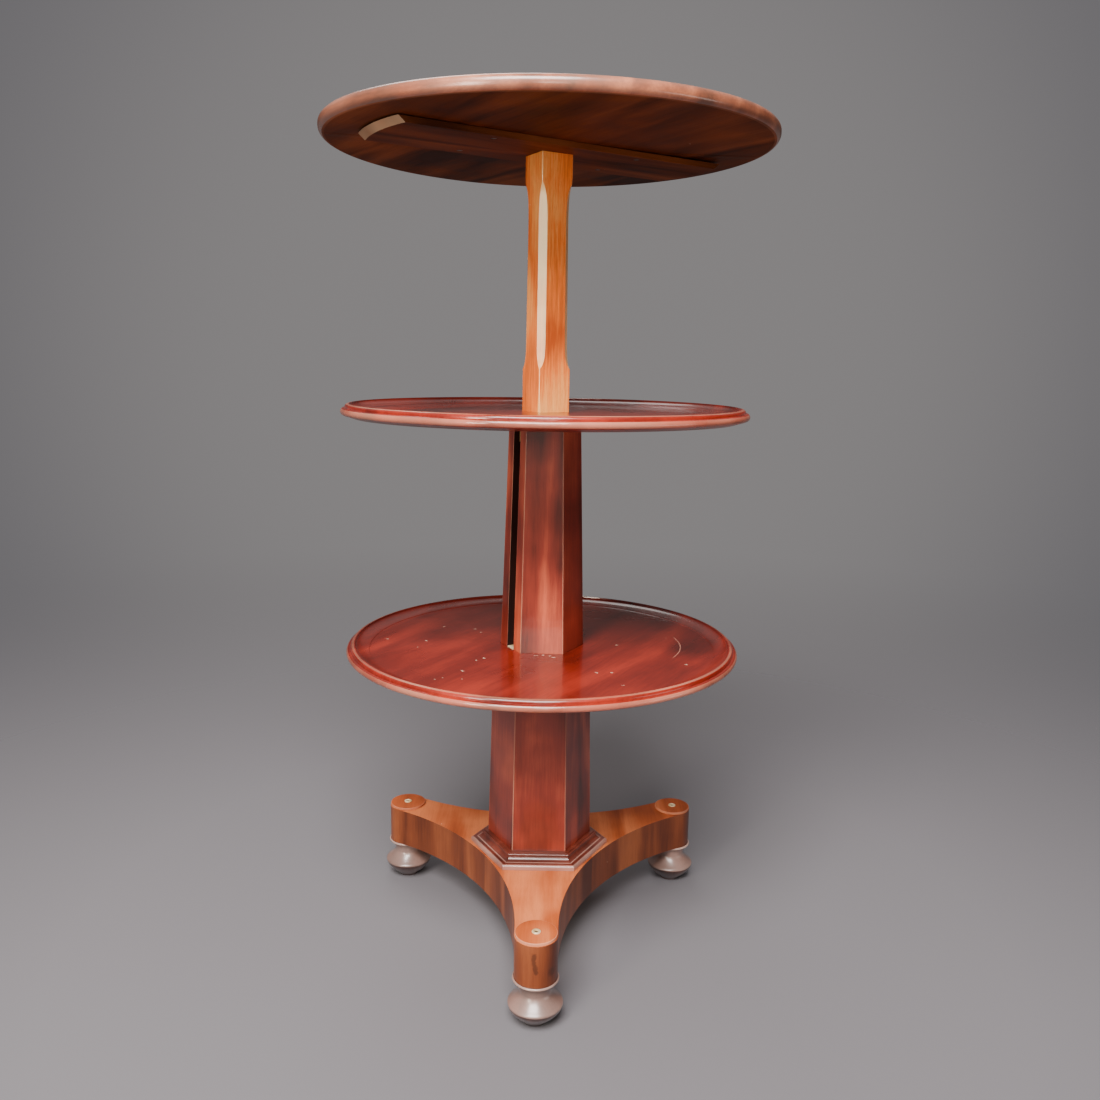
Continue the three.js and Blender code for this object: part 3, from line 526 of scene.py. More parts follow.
def wear_and_sheen_layer(bm):
    """The layer that holds the wear and painted highlight at each face corner."""
    return bm.loops.layers.float.get("wear_and_sheen") or bm.loops.layers.float.new("wear_and_sheen")


def paint_wear_and_sheen(bm, wear_and_sheen_of):
    """Marks every face of a shape with wear and painted highlight, as much as the given function
    gives for it, from 0 to 1.
    """
    layer = wear_and_sheen_layer(bm)
    for face in bm.faces:
        wear_and_sheen = wear_and_sheen_of(face)
        for corner in face.loops:
            corner[layer] = wear_and_sheen


def soften(bm, edges, size, segments=3):
    """Bevels edges and marks the new narrow faces as worn, which also paints a highlight on them.
    """
    layer = wear_and_sheen_layer(bm)
    made = bmesh.ops.bevel(bm, geom=list(edges), offset=size, segments=segments, profile=0.5,
                           affect="EDGES", material=-1, clamp_overlap=True)
    for face in made["faces"]:
        for corner in face.loops:
            corner[layer] = 1


def finished(node, bm, materials=None):
    """Makes the finished piece that stands for a node, from its bmesh."""
    bmesh.ops.remove_doubles(bm, verts=bm.verts, dist=WELD)
    bmesh.ops.dissolve_degenerate(bm, edges=bm.edges, dist=WELD)
    bmesh.ops.recalc_face_normals(bm, faces=bm.faces)
    wear_and_sheen_layer(bm)
    mesh = bpy.data.meshes.new("finished_" + node)
    bm.to_mesh(mesh)
    bm.free()
    mesh.shade_smooth()
    mesh.set_sharp_from_angle(angle=EDGE_ANGLE)
    board = mesh.attributes.new("board", "FLOAT", "POINT")
    number = next(board_numbers) * BOARD_SPACING
    board.data.foreach_set("value", [number] * len(mesh.vertices))
    piece = linked("finished_" + node, mesh)
    for material in materials or [MATERIAL_OF_SLOT[SLOT_OF[node]]]:
        mesh.materials.append(material)
    weighted = piece.modifiers.new("weighted_normals", "WEIGHTED_NORMAL")
    weighted.keep_sharp = True
    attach(piece, BODY_OF[node])
    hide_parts(node)
    return piece


print("nodes by slot:", {slot: list(SLOT_OF.values()).count(slot) for slot in MATERIAL_OF_SLOT})

# %% [markdown]
# ## Turning
#
# Half of this table came off a lathe or was run round with a scratch stock, so most sections are
# profiles turned about the upright axis. A pen draws the profile as a chain of edges in the XZ
# plane, and the spin operator turns it. A full spin merges its last ring with its first.

# %% Pen and lathe
TURN_STEPS = 240


class Pen:
    """Draws a chain of edges in the XZ plane."""

    def __init__(self, x, z):
        self.bm = bmesh.new()
        self.start = bmesh.ops.create_vert(self.bm, co=(x, 0, z))["vert"][0]
        self.tip = self.start

    def line(self, x, z):
        self.tip = bmesh.ops.extrude_vert_indiv(self.bm, verts=[self.tip])["verts"][0]
        self.tip.co = (x, 0, z)
        return self

    def lines(self, *points):
        for x, z in points:
            self.line(x, z)
        return self

    def arc(self, centre_x, centre_z, width, height, first, last, steps):
        """A stretch of an ellipse, from one angle to another in degrees, with its first point."""
        for step in range(steps + 1):
            angle = math.radians(first + (last - first) * step / steps)
            self.line(centre_x + width * math.cos(angle), centre_z + height * math.sin(angle))
        return self

    def close(self):
        bmesh.ops.contextual_create(self.bm, geom=[self.start, self.tip])
        return self


def spun(pen, steps=TURN_STEPS):
    """Turns a pen's profile once round the upright axis."""
    bm = pen.bm
    bmesh.ops.spin(bm, geom=bm.verts[:] + bm.edges[:], cent=(0, 0, 0), axis=(0, 0, 1),
                   angle=math.tau, steps=steps, use_merge=True)
    bmesh.ops.remove_doubles(bm, verts=bm.verts, dist=WELD)
    return bm


def at_angle(bm, degrees, distance=0):
    """Moves a piece out along +X and turns it about the table's axis."""
    move = Matrix.Rotation(math.radians(degrees), 4, "Z") @ Matrix.Translation((distance, 0, 0))
    bmesh.ops.transform(bm, matrix=move, verts=bm.verts)
    return bm


print("one step of a turned piece is", 360 / TURN_STEPS, "degrees")

# %% [markdown]
# ## Sizes read from the frame
#
# The frame says where every node lies, so most heights and radii here are read from it, and only
# the small sizes of the mouldings are written down again, in millimetres as a maker would measure
# them.

# %% Shared sizes
FRONT, FRONT_RIGHT, BACK_RIGHT, BACK, BACK_LEFT, FRONT_LEFT = (-90 + 60 * k for k in range(6))
FACE_ANGLES = {"front": FRONT, "front_right": FRONT_RIGHT, "back_right": BACK_RIGHT,
               "back": BACK, "back_left": BACK_LEFT}
ALL_FACE_ANGLES = {**FACE_ANGLES, "front_left": FRONT_LEFT}
ARM_ANGLES = {"front": FRONT, "right": BACK_RIGHT, "left": BACK_LEFT}
COS_30 = math.cos(math.pi / 6)
SLIDE_GAP = 0.5 * MM
GLUE_GAP = 0.2 * MM


def span(node):
    """The lowest and highest height of a node."""
    low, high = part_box(node)
    return low.z, high.z


def reach(node):
    """How far a node reaches from the table's axis towards the front."""
    return -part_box(node)[0].y


PLINTH_LOW, PLINTH_TOP = span("plinth_arm_front")
print("plinth from", round(PLINTH_LOW, 4), "to", round(PLINTH_TOP, 4))

# %% [markdown]
# ## Cutting and closing
#
# Mitred lengths are sawn from one closed ring: a plane cuts the ring, what lies beyond it goes, and
# the cut is closed again. Half a joint's gap is left on each side. A hole or a notch is cut with a
# second closed shape, by the Boolean modifier on a temporary object.

# %% Saw and Boolean cut
OVERRUN = 5 * MM


def sawn(bm, point, normal):
    """Cuts a shape with a plane, keeps what lies behind it, and closes the cut."""
    cut = bmesh.ops.bisect_plane(bm, geom=bm.verts[:] + bm.edges[:] + bm.faces[:], dist=WELD,
                                 plane_co=point, plane_no=normal, clear_outer=True)
    edges = [item for item in cut["geom_cut"] if isinstance(item, bmesh.types.BMEdge)]
    bmesh.ops.edgeloop_fill(bm, edges=edges)
    return bm


def wedge(bm, half):
    """Keeps what lies within an angle either side of +X, less half a joint."""
    for sign in (-1, 1):
        angle = math.radians(sign * (half + 90))
        normal = Vector((math.cos(angle), math.sin(angle), 0))
        sawn(bm, normal * (-GLUE_GAP / 2), normal)
    return bm


def carved(bm, cutter):
    """What is left of one closed shape when another is cut out of it."""
    shapes = []
    for shape in (bm, cutter):
        bmesh.ops.remove_doubles(shape, verts=shape.verts, dist=WELD)
        bmesh.ops.recalc_face_normals(shape, faces=shape.faces)
        mesh = bpy.data.meshes.new("shape")
        shape.to_mesh(mesh)
        shape.free()
        shapes.append(linked("shape", mesh))
    cut = shapes[0].modifiers.new("cut", "BOOLEAN")
    cut.operation = "DIFFERENCE"
    cut.object = shapes[1]
    graph = bpy.context.evaluated_depsgraph_get()
    left = bmesh.new()
    left.from_mesh(shapes[0].evaluated_get(graph).to_mesh())
    for shape in shapes:
        bpy.data.objects.remove(shape)
    return left


print("a cutter runs", round(OVERRUN / MM, 1), "mm past what it cuts")

# %% Cutters and edges
def block(low, high):
    """A block between two corners."""
    bm = bmesh.new()
    low, high = Vector(low), Vector(high)
    bmesh.ops.create_cube(bm, size=1)
    bmesh.ops.scale(bm, verts=bm.verts, vec=high - low)
    bmesh.ops.translate(bm, verts=bm.verts, vec=(low + high) / 2)
    return bm


def rod(radius, low, high, steps=32):
    """A closed rod on the upright axis."""
    return spun(Pen(0, low).lines((radius, low), (radius, high), (0, high)), steps)


def with_hole(node, bm, sides, corner_radius, degrees):
    """Cuts a straight-sided hole through a turned piece. Its first corner is at an angle."""
    low, high = span(node)
    cutter = bmesh.new()
    corners = bmesh.ops.create_cone(cutter, cap_ends=True, segments=sides, radius1=corner_radius,
                                    radius2=corner_radius, depth=high - low + 2 * OVERRUN)["verts"]
    first = math.atan2(corners[0].co.y, corners[0].co.x)
    turn = Matrix.Rotation(math.radians(degrees) - first, 4, "Z")
    middle = Matrix.Translation((0, 0, (low + high) / 2))
    bmesh.ops.transform(cutter, matrix=middle @ turn, verts=corners)
    return carved(bm, cutter)


def extruded(bm, rise):
    """Fills a flat outline and draws it out along a vector."""
    bmesh.ops.contextual_create(bm, geom=bm.edges[:])
    grown = bmesh.ops.extrude_face_region(bm, geom=bm.faces[:])["geom"]
    moved = [item for item in grown if isinstance(item, bmesh.types.BMVert)]
    bmesh.ops.translate(bm, verts=moved, vec=rise)
    return bm


def climbing(bm, least):
    """The edges that climb, at least so far from the axis."""
    def climbs(edge):
        first, second = (vert.co for vert in edge.verts)
        steep = abs(first.z - second.z) > 0.9 * (first - second).length
        return steep and min(first.xy.length, second.xy.length) > least
    return [edge for edge in bm.edges if climbs(edge)]


def lies_at(item, axis, place):
    """Whether an edge or a face lies wholly at one place along an axis, X 0, Y 1 or Z 2."""
    return all(abs(vert.co[axis] - place) < WELD for vert in item.verts)


trial = block((0, 0, 0), (1, 1, 1))
print("a block has", len(climbing(trial, -1)), "climbing edges")
trial.free()

# %% [markdown]
# ## The trays
#
# Each tray is one wide board, dished out so that a moulded lip stands round it: a fat bead below,
# a thin quirk, a smaller round above it, a narrow flat, and a long hollow down to the floor. The
# lip is a profile spun round the axis, with a small bore in the middle, so that the spin leaves no
# pole. The real hole, a hexagon or a square, is cut out of the closed piece afterwards. The lip's
# top edge and the outermost line of the bead are painted paler, partly as wear from hands and
# dishes and partly as a painted highlight.

# %% Lip profile
CORE = 6 * MM
BEAD = 5 * MM
BEVEL_RISE = 3.6 * MM
BEVEL_WIDTH = 11 * MM
LIP_SETBACK = 5.8 * MM
QUIRK = 0.8 * MM
OVOLO = 5 * MM
BAND = 1.5 * MM
COVE = 20 * MM
DISH_DEPTH = 9.3 * MM
DISH_STEP = 0.9 * MM
MIDDLE_RING_SHARE = 0.6


def turned_tray(node):
    """A tray as it comes off the lathe, with a small bore in the middle."""
    low, high = span(node)
    radius = reach(node)
    floor = high - DISH_DEPTH
    bead_x = radius - BEAD
    bead_z = low + BEVEL_RISE + BEAD
    upper_x = radius - LIP_SETBACK
    band_x = upper_x - OVOLO - BAND
    cove_x = band_x - COVE
    ovolo_z = bead_z + BEAD + QUIRK
    middle_ring = MIDDLE_RING_SHARE * radius
    pen = Pen(CORE, low)
    pen.lines((middle_ring, low), (bead_x - BEVEL_WIDTH, low))
    pen.arc(bead_x, bead_z, BEAD, BEAD, -90, 90, 14)
    pen.lines((upper_x, bead_z + BEAD), (upper_x, ovolo_z))
    pen.arc(upper_x - OVOLO, ovolo_z, OVOLO, high - ovolo_z, 0, 90, 7)
    pen.line(band_x, high)
    pen.arc(cove_x, high, COVE, high - floor - DISH_STEP, 0, -90, 12)
    pen.lines((cove_x - DISH_STEP, floor), (middle_ring, floor), (CORE, floor))
    return spun(pen.close())


print("lip", round((LIP_SETBACK + OVOLO + BAND + COVE) / MM, 1), "mm wide")

# %% Turn the two trays
POST_SIDE = 48.6 * MM
POST_ANGLE = 30
BORE_MARGIN = 2.8 * MM
BORE = POST_SIDE / math.sqrt(2) * math.cos(math.radians(15)) + BORE_MARGIN
SHOULDER = BORE + 17.4 * MM
COLUMN_HOLE = (6, (SHOULDER + SLIDE_GAP) / COS_30, 60)
POST_HOLE = (4, (POST_SIDE / 2 + SLIDE_GAP) * math.sqrt(2), POST_ANGLE + 45)
# The lip's top edge and the bead's outer line are painted paler: partly wear, partly a painted
# highlight.
WORN_AND_SHEEN_TOP = 1.2 * MM
WORN_AND_SHEEN_BEAD = 1.6 * MM
LIP_WEAR_AND_SHEEN = 0.6


def tray(node, hole):
    """A finished tray with its hole."""
    high = span(node)[1]
    radius = reach(node)
    bm = turned_tray(node)

    def lip_wear_and_sheen(face):
        middle = face.calc_center_median()
        from_axis = middle.xy.length
        on_top = middle.z > high - WORN_AND_SHEEN_TOP and from_axis > radius - LIP_SETBACK - OVOLO
        return LIP_WEAR_AND_SHEEN if on_top or from_axis > radius - WORN_AND_SHEEN_BEAD else 0

    paint_wear_and_sheen(bm, lip_wear_and_sheen)
    return finished(node, with_hole(node, bm, *hole))


bottom_tray = tray("bottom_tray", COLUMN_HOLE)
middle_tray = tray("middle_tray", POST_HOLE)
print("tray faces:", len(bottom_tray.data.polygons), len(middle_tray.data.polygons))

# %% [markdown]
# ## Bearers
#
# A plain turned disc under each tray joins it to what carries it. Its lower edge is rounded. The
# lower one is notched for the key.

# %% Bearers
BEARER_EDGE = 4 * MM
KEY_FOOT = 10 * MM
SLOT_WIDTH = 19.5 * MM
KEY_WIDTH = SLOT_WIDTH - 2 * SLIDE_GAP
KEY_NOTCH_END = SHOULDER + SLIDE_GAP + KEY_FOOT + GLUE_GAP


def bearer(node, hole):
    """A turned disc with a rounded lower edge and a hole."""
    low, high = span(node)
    radius = reach(node)
    pen = Pen(CORE, low)
    pen.arc(radius - BEARER_EDGE, low + BEARER_EDGE, BEARER_EDGE, BEARER_EDGE, -90, 0, 6)
    pen.lines((radius, high), (CORE, high))
    return with_hole(node, spun(pen.close()), *hole)


finished("middle_bearer", bearer("middle_bearer", POST_HOLE))
low, high = span("bottom_bearer")
half = KEY_WIDTH / 2 + GLUE_GAP
notch = block((0, -half, low - OVERRUN), (KEY_NOTCH_END, half, high + OVERRUN))
bottom_bearer = bearer("bottom_bearer", COLUMN_HOLE)
finished("bottom_bearer", carved(bottom_bearer, at_angle(notch, FRONT_LEFT)))

# %% [markdown]
# ## The two columns
#
# Both columns are hexagons of mitred staves. Each begins as one ring, turned in six steps, whose
# six outer arrises are softened and painted paler, partly as wear and partly as a painted
# highlight.
# The ring is then sawn at the mitres. The face on the bore gets the dark bore wood, which is partly
# painted shade, and is picked by its place.

# %% The lower column
ARRIS = 0.9 * MM
ARRIS_CLEAR = 2 * MM
HEXAGON_TURN = 30
HALF_STAVE = 30
LOWER_BORE = BORE + 20.3 * MM
LOWER_FOOT = LOWER_BORE + 11.6 * MM
LOWER_HEAD = LOWER_BORE + 6 * MM
STAVE_WOODS = [column_wood, bore_wood_and_shade]


def hexagonal(*profile):
    """A profile of (apothem, height) pairs carried round a hexagon with a face square to +X."""
    corners = [(apothem / COS_30, z) for apothem, z in profile]
    ring = spun(Pen(*corners[0]).lines(*corners[1:]).close(), 6)
    return at_angle(ring, HEXAGON_TURN)


def dark_inside(bm, bore):
    """Gives the face on the bore the second of the two woods, the dark bore wood that is partly
    painted shade.
    """
    for face in bm.faces:
        face.material_index = int(face.calc_center_median().x < bore + WELD)
    return bm


def stave(bore, *profile):
    """One softened and mitred stave with its face square to +X."""
    bm = hexagonal(*profile)
    soften(bm, climbing(bm, bore / COS_30 + ARRIS_CLEAR), ARRIS)
    return dark_inside(wedge(bm, HALF_STAVE), bore)


LOWER_LOW, LOWER_TOP = span("lower_stave_front")
lower_stave = stave(
    LOWER_BORE,
    (LOWER_BORE, LOWER_LOW), (LOWER_FOOT, LOWER_LOW), (LOWER_FOOT, PLINTH_TOP),
    (LOWER_HEAD, LOWER_TOP), (LOWER_BORE, LOWER_TOP),
)
for side, degrees in ALL_FACE_ANGLES.items():
    finished("lower_stave_" + side, at_angle(lower_stave.copy(), degrees), STAVE_WOODS)
print("lower stave faces:", len(lower_stave.faces))

# %% [markdown]
# The inner column has a thicker band at its foot, which guides it in the outer one. Two of its
# staves, front and back, are recessed there for the bowed springs that hold the column up.

# %% The middle column
BAND_WALL = BORE + 19.8 * MM
MIDDLE_HEAD = BORE + 8.5 * MM
SPRING_CREST = 0.3 * MM
SPRING_DEPTH = 2.8 * MM
RECESS_FLOOR = BAND_WALL + SPRING_CREST - SPRING_DEPTH
RECESS_HALF = 6.2 * MM
RECESS_MARGIN = 2.8 * MM
MIDDLE_LOW, MIDDLE_TOP = span("middle_stave_front")
SHOULDER_HEIGHT = span("slot_stop")[1]

middle_stave = stave(
    BORE,
    (BORE, MIDDLE_LOW), (BAND_WALL, MIDDLE_LOW), (BAND_WALL, SHOULDER_HEIGHT),
    (SHOULDER, SHOULDER_HEIGHT), (MIDDLE_HEAD, MIDDLE_TOP), (BORE, MIDDLE_TOP),
)
recess = block((RECESS_FLOOR, -RECESS_HALF, MIDDLE_LOW + RECESS_MARGIN),
               (BAND_WALL + OVERRUN, RECESS_HALF, SHOULDER_HEIGHT - RECESS_MARGIN))
recessed_stave = dark_inside(carved(middle_stave.copy(), recess), BORE)
for side, degrees in FACE_ANGLES.items():
    shape = recessed_stave if side in ("front", "back") else middle_stave
    finished("middle_stave_" + side, at_angle(shape.copy(), degrees), STAVE_WOODS)
print("middle stave faces:", len(middle_stave.faces), "recessed:", len(recessed_stave.faces))

# %% [markdown]
# ## The slot
#
# The sixth stave of the inner column is slotted along its whole length, which leaves two cheeks. A
# key on the bottom bearer runs in the slot and keeps the column from turning. A small block, the
# stop, closes the slot's foot. The cheeks are what a saw leaves of the stave, and the slot's sides
# take the dark bore wood, which is partly painted shade. The key is drawn from the side as a flat
# outline and drawn out to its width.

# %% Cheeks and stop
SLOT_HALF = SLOT_WIDTH / 2
SLOT_ARRIS = 0.5 * MM
SMALL_ARRIS = 0.4 * MM
ACROSS = 1

for side, sign in (("left", -1), ("right", 1)):
    slot_side = sign * SLOT_HALF
    cheek = sawn(middle_stave.copy(), (0, slot_side, 0), (0, -sign, 0))
    soften(cheek, [edge for edge in climbing(cheek, BORE + ARRIS_CLEAR)
                   if lies_at(edge, ACROSS, slot_side)], SLOT_ARRIS, 2)
    for face in cheek.faces:
        if lies_at(face, ACROSS, slot_side):
            face.material_index = 1
    finished("slot_cheek_" + side, at_angle(cheek, FRONT_LEFT), STAVE_WOODS)

half = SLOT_HALF - GLUE_GAP
stop = block((BORE, -half, MIDDLE_LOW), (BAND_WALL, half, SHOULDER_HEIGHT))
soften(stop, stop.edges, SMALL_ARRIS, 2)
finished("slot_stop", at_angle(stop, FRONT_LEFT))
print("slot", round(SLOT_WIDTH / MM, 1), "mm wide, stop", round(2 * half / MM, 1), "mm")

# %% Key
TONGUE = 10 * MM
low, high = span("slot_key")
tray_low, tray_high = span("bottom_tray")
slope = (SHOULDER - MIDDLE_HEAD) / (MIDDLE_TOP - SHOULDER_HEIGHT)
tongue_out = SHOULDER - slope * (tray_high - SHOULDER_HEIGHT) - GLUE_GAP
tongue_in = tongue_out - TONGUE
foot_out = KEY_NOTCH_END - GLUE_GAP
foot_top = tray_low - 2 * GLUE_GAP
key = Pen(tongue_in, low).lines(
    (foot_out, low), (foot_out, foot_top), (tongue_out, foot_top), (tongue_out, high),
    (tongue_in, high),
).close().bm
extruded(key, (0, KEY_WIDTH, 0))
bmesh.ops.translate(key, verts=key.verts, vec=(0, -KEY_WIDTH / 2, 0))
bmesh.ops.recalc_face_normals(key, faces=key.faces)
soften(key, key.edges, SMALL_ARRIS, 2)
finished("slot_key", at_angle(key, FRONT_LEFT))

# %% [markdown]
# ## Moulding round the column's foot
#
# The moulding has a bead below, a hollow, a small roll and a fillet. It lies against the tapering
# column and is mitred at the six corners. Its profile is given by distances to the flat faces, so
# each is divided by the cosine of 30 degrees to reach the corner that the pen draws.

# %% Moulding
MOULDING_WIDTH = 22.4 * MM
MOULDING_BEAD = 3.8 * MM
ROLL = 1.6 * MM
HOLLOW_OUT_SHARE, HOLLOW_IN_SHARE = 0.27, 0.69
HOLLOW_LOW_SHARE, HOLLOW_HIGH_SHARE = 0.38, 0.76
BEAD_TOP_SHARE = 2.1
BEAD_SHEEN_AND_WEAR = 0.5
low, high = span("plinth_moulding_front")
height = high - low
taper = (LOWER_FOOT - LOWER_HEAD) / (LOWER_TOP - PLINTH_TOP)
outer = LOWER_FOOT + MOULDING_WIDTH
inner_low = LOWER_FOOT - taper * (low - PLINTH_TOP) + GLUE_GAP
inner_high = LOWER_FOOT - taper * (high - PLINTH_TOP) + GLUE_GAP
hollow_out = outer - HOLLOW_OUT_SHARE * MOULDING_WIDTH
hollow_in = outer - HOLLOW_IN_SHARE * MOULDING_WIDTH
hollow_low = low + HOLLOW_LOW_SHARE * height
hollow_high = low + HOLLOW_HIGH_SHARE * height
fillet = (hollow_in - ROLL) / COS_30
pen = Pen(inner_low / COS_30, low)
pen.lines((outer / COS_30, low), (outer / COS_30, low + MOULDING_BEAD))
pen.arc((outer - MOULDING_BEAD) / COS_30, low + MOULDING_BEAD, MOULDING_BEAD / COS_30,
        MOULDING_BEAD, 0, 105, 10)
pen.arc(hollow_out / COS_30, hollow_high, (hollow_out - hollow_in) / COS_30,
        hollow_high - hollow_low, -90, -180, 8)
pen.arc(hollow_in / COS_30, hollow_high + ROLL, ROLL / COS_30, ROLL, -60, 90, 8)
pen.lines((fillet, hollow_high + 2 * ROLL), (fillet, high), (inner_high / COS_30, high))
moulding = wedge(at_angle(spun(pen.close(), 6), HEXAGON_TURN), HALF_STAVE)
bmesh.ops.recalc_face_normals(moulding, faces=moulding.faces)
# The bead's outer face is painted paler: mostly a painted highlight, with some wear.
bead_top = low + BEAD_TOP_SHARE * MOULDING_BEAD
paint_wear_and_sheen(moulding, lambda face: BEAD_SHEEN_AND_WEAR * (
    face.calc_center_median().z < bead_top and face.normal.x > 0.2))
for side, degrees in ALL_FACE_ANGLES.items():
    finished("plinth_moulding_" + side, at_angle(moulding.copy(), degrees))
print("moulding faces:", len(moulding.faces))

# %% [markdown]
# ## The plinth
#
# The plinth's outline has a round end on each arm, joined by hollow sides that are arcs. The end
# and the hollow touch each other, which fixes how far out the centre of each hollow lies. One arm
# is drawn flat, a little past its mitres, raised to its height, softened, and sawn at the mitres.

# %% The arm's outline
ARM_REACH = 253 * MM
ARM_END = 28.7 * MM
WAIST = outer + 2.7 * MM
HOLLOW_FROM = 237
ARC_STEPS = 48
column_corner = (LOWER_FOOT + GLUE_GAP) / COS_30
narrow = WAIST - ARM_END
hollow_distance = (ARM_REACH ** 2 - narrow ** 2) / (ARM_REACH - 2 * narrow)
hollow_radius = hollow_distance - WAIST
centre = Vector((hollow_distance / 2, hollow_distance * COS_30))
touch = math.degrees(math.asin(centre.y / (hollow_radius + ARM_END)))
touch = 180 - touch if centre.x > ARM_REACH else touch
pen = Pen(0, -column_corner)
pen.lines((column_corner * COS_30, -column_corner / 2), (column_corner * COS_30, column_corner / 2),
          (0, column_corner))
pen.arc(*centre, hollow_radius, hollow_radius, HOLLOW_FROM, 360 - touch, ARC_STEPS)
pen.arc(ARM_REACH, 0, ARM_END, ARM_END, 180 - touch, touch - 180, ARC_STEPS)
pen.arc(centre.x, -centre.y, hollow_radius, hollow_radius, touch, 360 - HOLLOW_FROM, ARC_STEPS)
arm = pen.close().bm
bmesh.ops.remove_doubles(arm, verts=arm.verts, dist=WELD)
bmesh.ops.rotate(arm, verts=arm.verts, matrix=Matrix.Rotation(-math.pi / 2, 3, "X"))
print("hollow sides of radius", round(hollow_radius, 4), "touch the ends at", round(touch, 1))

# %% [markdown]
# Each arm is bored for the foot's tenon and the screw from the pad, which share one stepped cutter,
# and for a screw of the board below. Its sides take the veneer and its top and underside the plain
# wood.

# %% Raise, saw and bore the arms
PLINTH_EDGE = 1.3 * MM
EDGE_CLEAR = 2 * MM
HALF_ARM = 60
FOOT_TENON = 10 * MM
FOOT_TENON_LENGTH = 30 * MM
FOOT_SCREW = 2.2 * MM
TIE_SCREW = 2 * MM
TIE_SCREW_LENGTH = 18.2 * MM
TIE_DISTANCE = (LOWER_FOOT + column_corner + 5 * MM) / 2
STEEP = 0.4


def outside(edge):
    """Whether an edge lies flat on the outline, away from the column's hole and the mitres."""
    first, second = (vert.co for vert in edge.verts)
    return first.z == second.z and min(first.xy.length, second.xy.length) > WAIST - EDGE_CLEAR


extruded(arm, (0, 0, PLINTH_TOP - PLINTH_LOW))
bmesh.ops.translate(arm, verts=arm.verts, vec=(0, 0, PLINTH_LOW))
bmesh.ops.recalc_face_normals(arm, faces=arm.faces)
soften(arm, [edge for edge in arm.edges if outside(edge)], PLINTH_EDGE)
wedge(arm, HALF_ARM)
bore_low, bore_high = PLINTH_LOW - OVERRUN, PLINTH_TOP + OVERRUN
tenon_top = PLINTH_LOW + FOOT_TENON_LENGTH + GLUE_GAP
tenon_bore, screw_bore = FOOT_TENON + 2 * GLUE_GAP, FOOT_SCREW + 2 * GLUE_GAP
bore = spun(Pen(0, bore_low).lines(
    (tenon_bore, bore_low), (tenon_bore, tenon_top), (screw_bore, tenon_top),
    (screw_bore, bore_high), (0, bore_high),
), 32)
arm = carved(arm, at_angle(bore, 0, ARM_REACH))
tie_hole = rod(TIE_SCREW + GLUE_GAP, bore_low, PLINTH_LOW + TIE_SCREW_LENGTH, 14)
arm = carved(arm, at_angle(tie_hole, 0, TIE_DISTANCE))
arm.normal_update()
for face in arm.faces:
    face.material_index = int(abs(face.normal.z) < STEEP)
for side, degrees in ARM_ANGLES.items():
    finished("plinth_arm_" + side, at_angle(arm.copy(), degrees), [plinth_wood, plinth_side_wood])
print("arm faces:", len(arm.faces))

# %% [markdown]
# ## Feet
#
# The feet are turned: a bun on a small sole, a long flare up to a neck, and a thin collar under the
# arm, with a tenon above. A smooth curve through a few measured points gives the bun and the flare.
# The collar's edge is painted paler, partly as wear and partly as a painted highlight. The flare
# gets a painted sheen, and the underside of the bun keeps its dark colour.

# %% A smooth curve
def through(points, steps=6):
    """Points on a smooth curve through the given ones, with some steps between each two."""
    ends = [points[0]] + list(points) + [points[-1]]
    made = []
    for before, first, second, after in zip(ends, ends[1:], ends[2:], ends[3:]):
        for step in range(steps):
            t = step / steps
            made.append([
                0.5 * (2 * b + (c - a) * t + (2 * a - 5 * b + 4 * c - d) * t ** 2
                       + (3 * b - a - 3 * c + d) * t ** 3)
                for a, b, c, d in zip(before, first, second, after)
            ])
    return made + [points[-1]]


print("three points become", len(through([(0, 0), (1, 1), (2, 0)])))

# %% Turn a foot
SOLE = 15 * MM
BUN = 36.5 * MM
BUN_WIDEST = 26 * MM
BUN_TOP = 44.5 * MM
NECK = 21.7 * MM
COLLAR = 31 * MM
COLLAR_THICKNESS = 3.5 * MM
FOOT_STEPS = 120
BUN_SHARES = [(0, 0), (0.14, 0.15), (0.42, 0.35), (0.7, 0.58), (0.93, 0.83), (1, 1)]
FLARE_SHARES = [(1, 0), (0.97, 0.13), (0.64, 0.36), (0.33, 0.6), (0.1, 0.83), (0, 1)]
# The collar's edge is painted paler, partly wear and partly a painted highlight; the flare gets a
# painted sheen.
COLLAR_WEAR_AND_SHEEN, FLARE_SHEEN = 0.9, 0.46
WORN_AND_SHEEN_COLLAR = 1.6 * MM
DARK_NECK = 4 * MM
bun_curve = through([(SOLE + x * (BUN - SOLE), z * BUN_WIDEST) for x, z in BUN_SHARES])
flare_curve = through([(NECK + x * (BUN - NECK), BUN_WIDEST + z * (BUN_TOP - BUN_WIDEST))
                       for x, z in FLARE_SHARES])
collar_low = PLINTH_LOW - COLLAR_THICKNESS
seat = PLINTH_LOW - GLUE_GAP
tenon_end = PLINTH_LOW + FOOT_TENON_LENGTH
screw_end = tenon_end - 18.2 * MM
pen = Pen(0, 0).lines(*bun_curve, *flare_curve[1:], (NECK, collar_low))
pen.arc(COLLAR - COLLAR_THICKNESS / 2, (collar_low + seat) / 2, COLLAR_THICKNESS / 2,
        (seat - collar_low) / 2, -90, 90, 10)
pen.lines((FOOT_TENON, seat), (FOOT_TENON, tenon_end), (FOOT_SCREW + GLUE_GAP, tenon_end),
          (FOOT_SCREW + GLUE_GAP, screw_end), (0, screw_end))
foot = spun(pen, FOOT_STEPS)


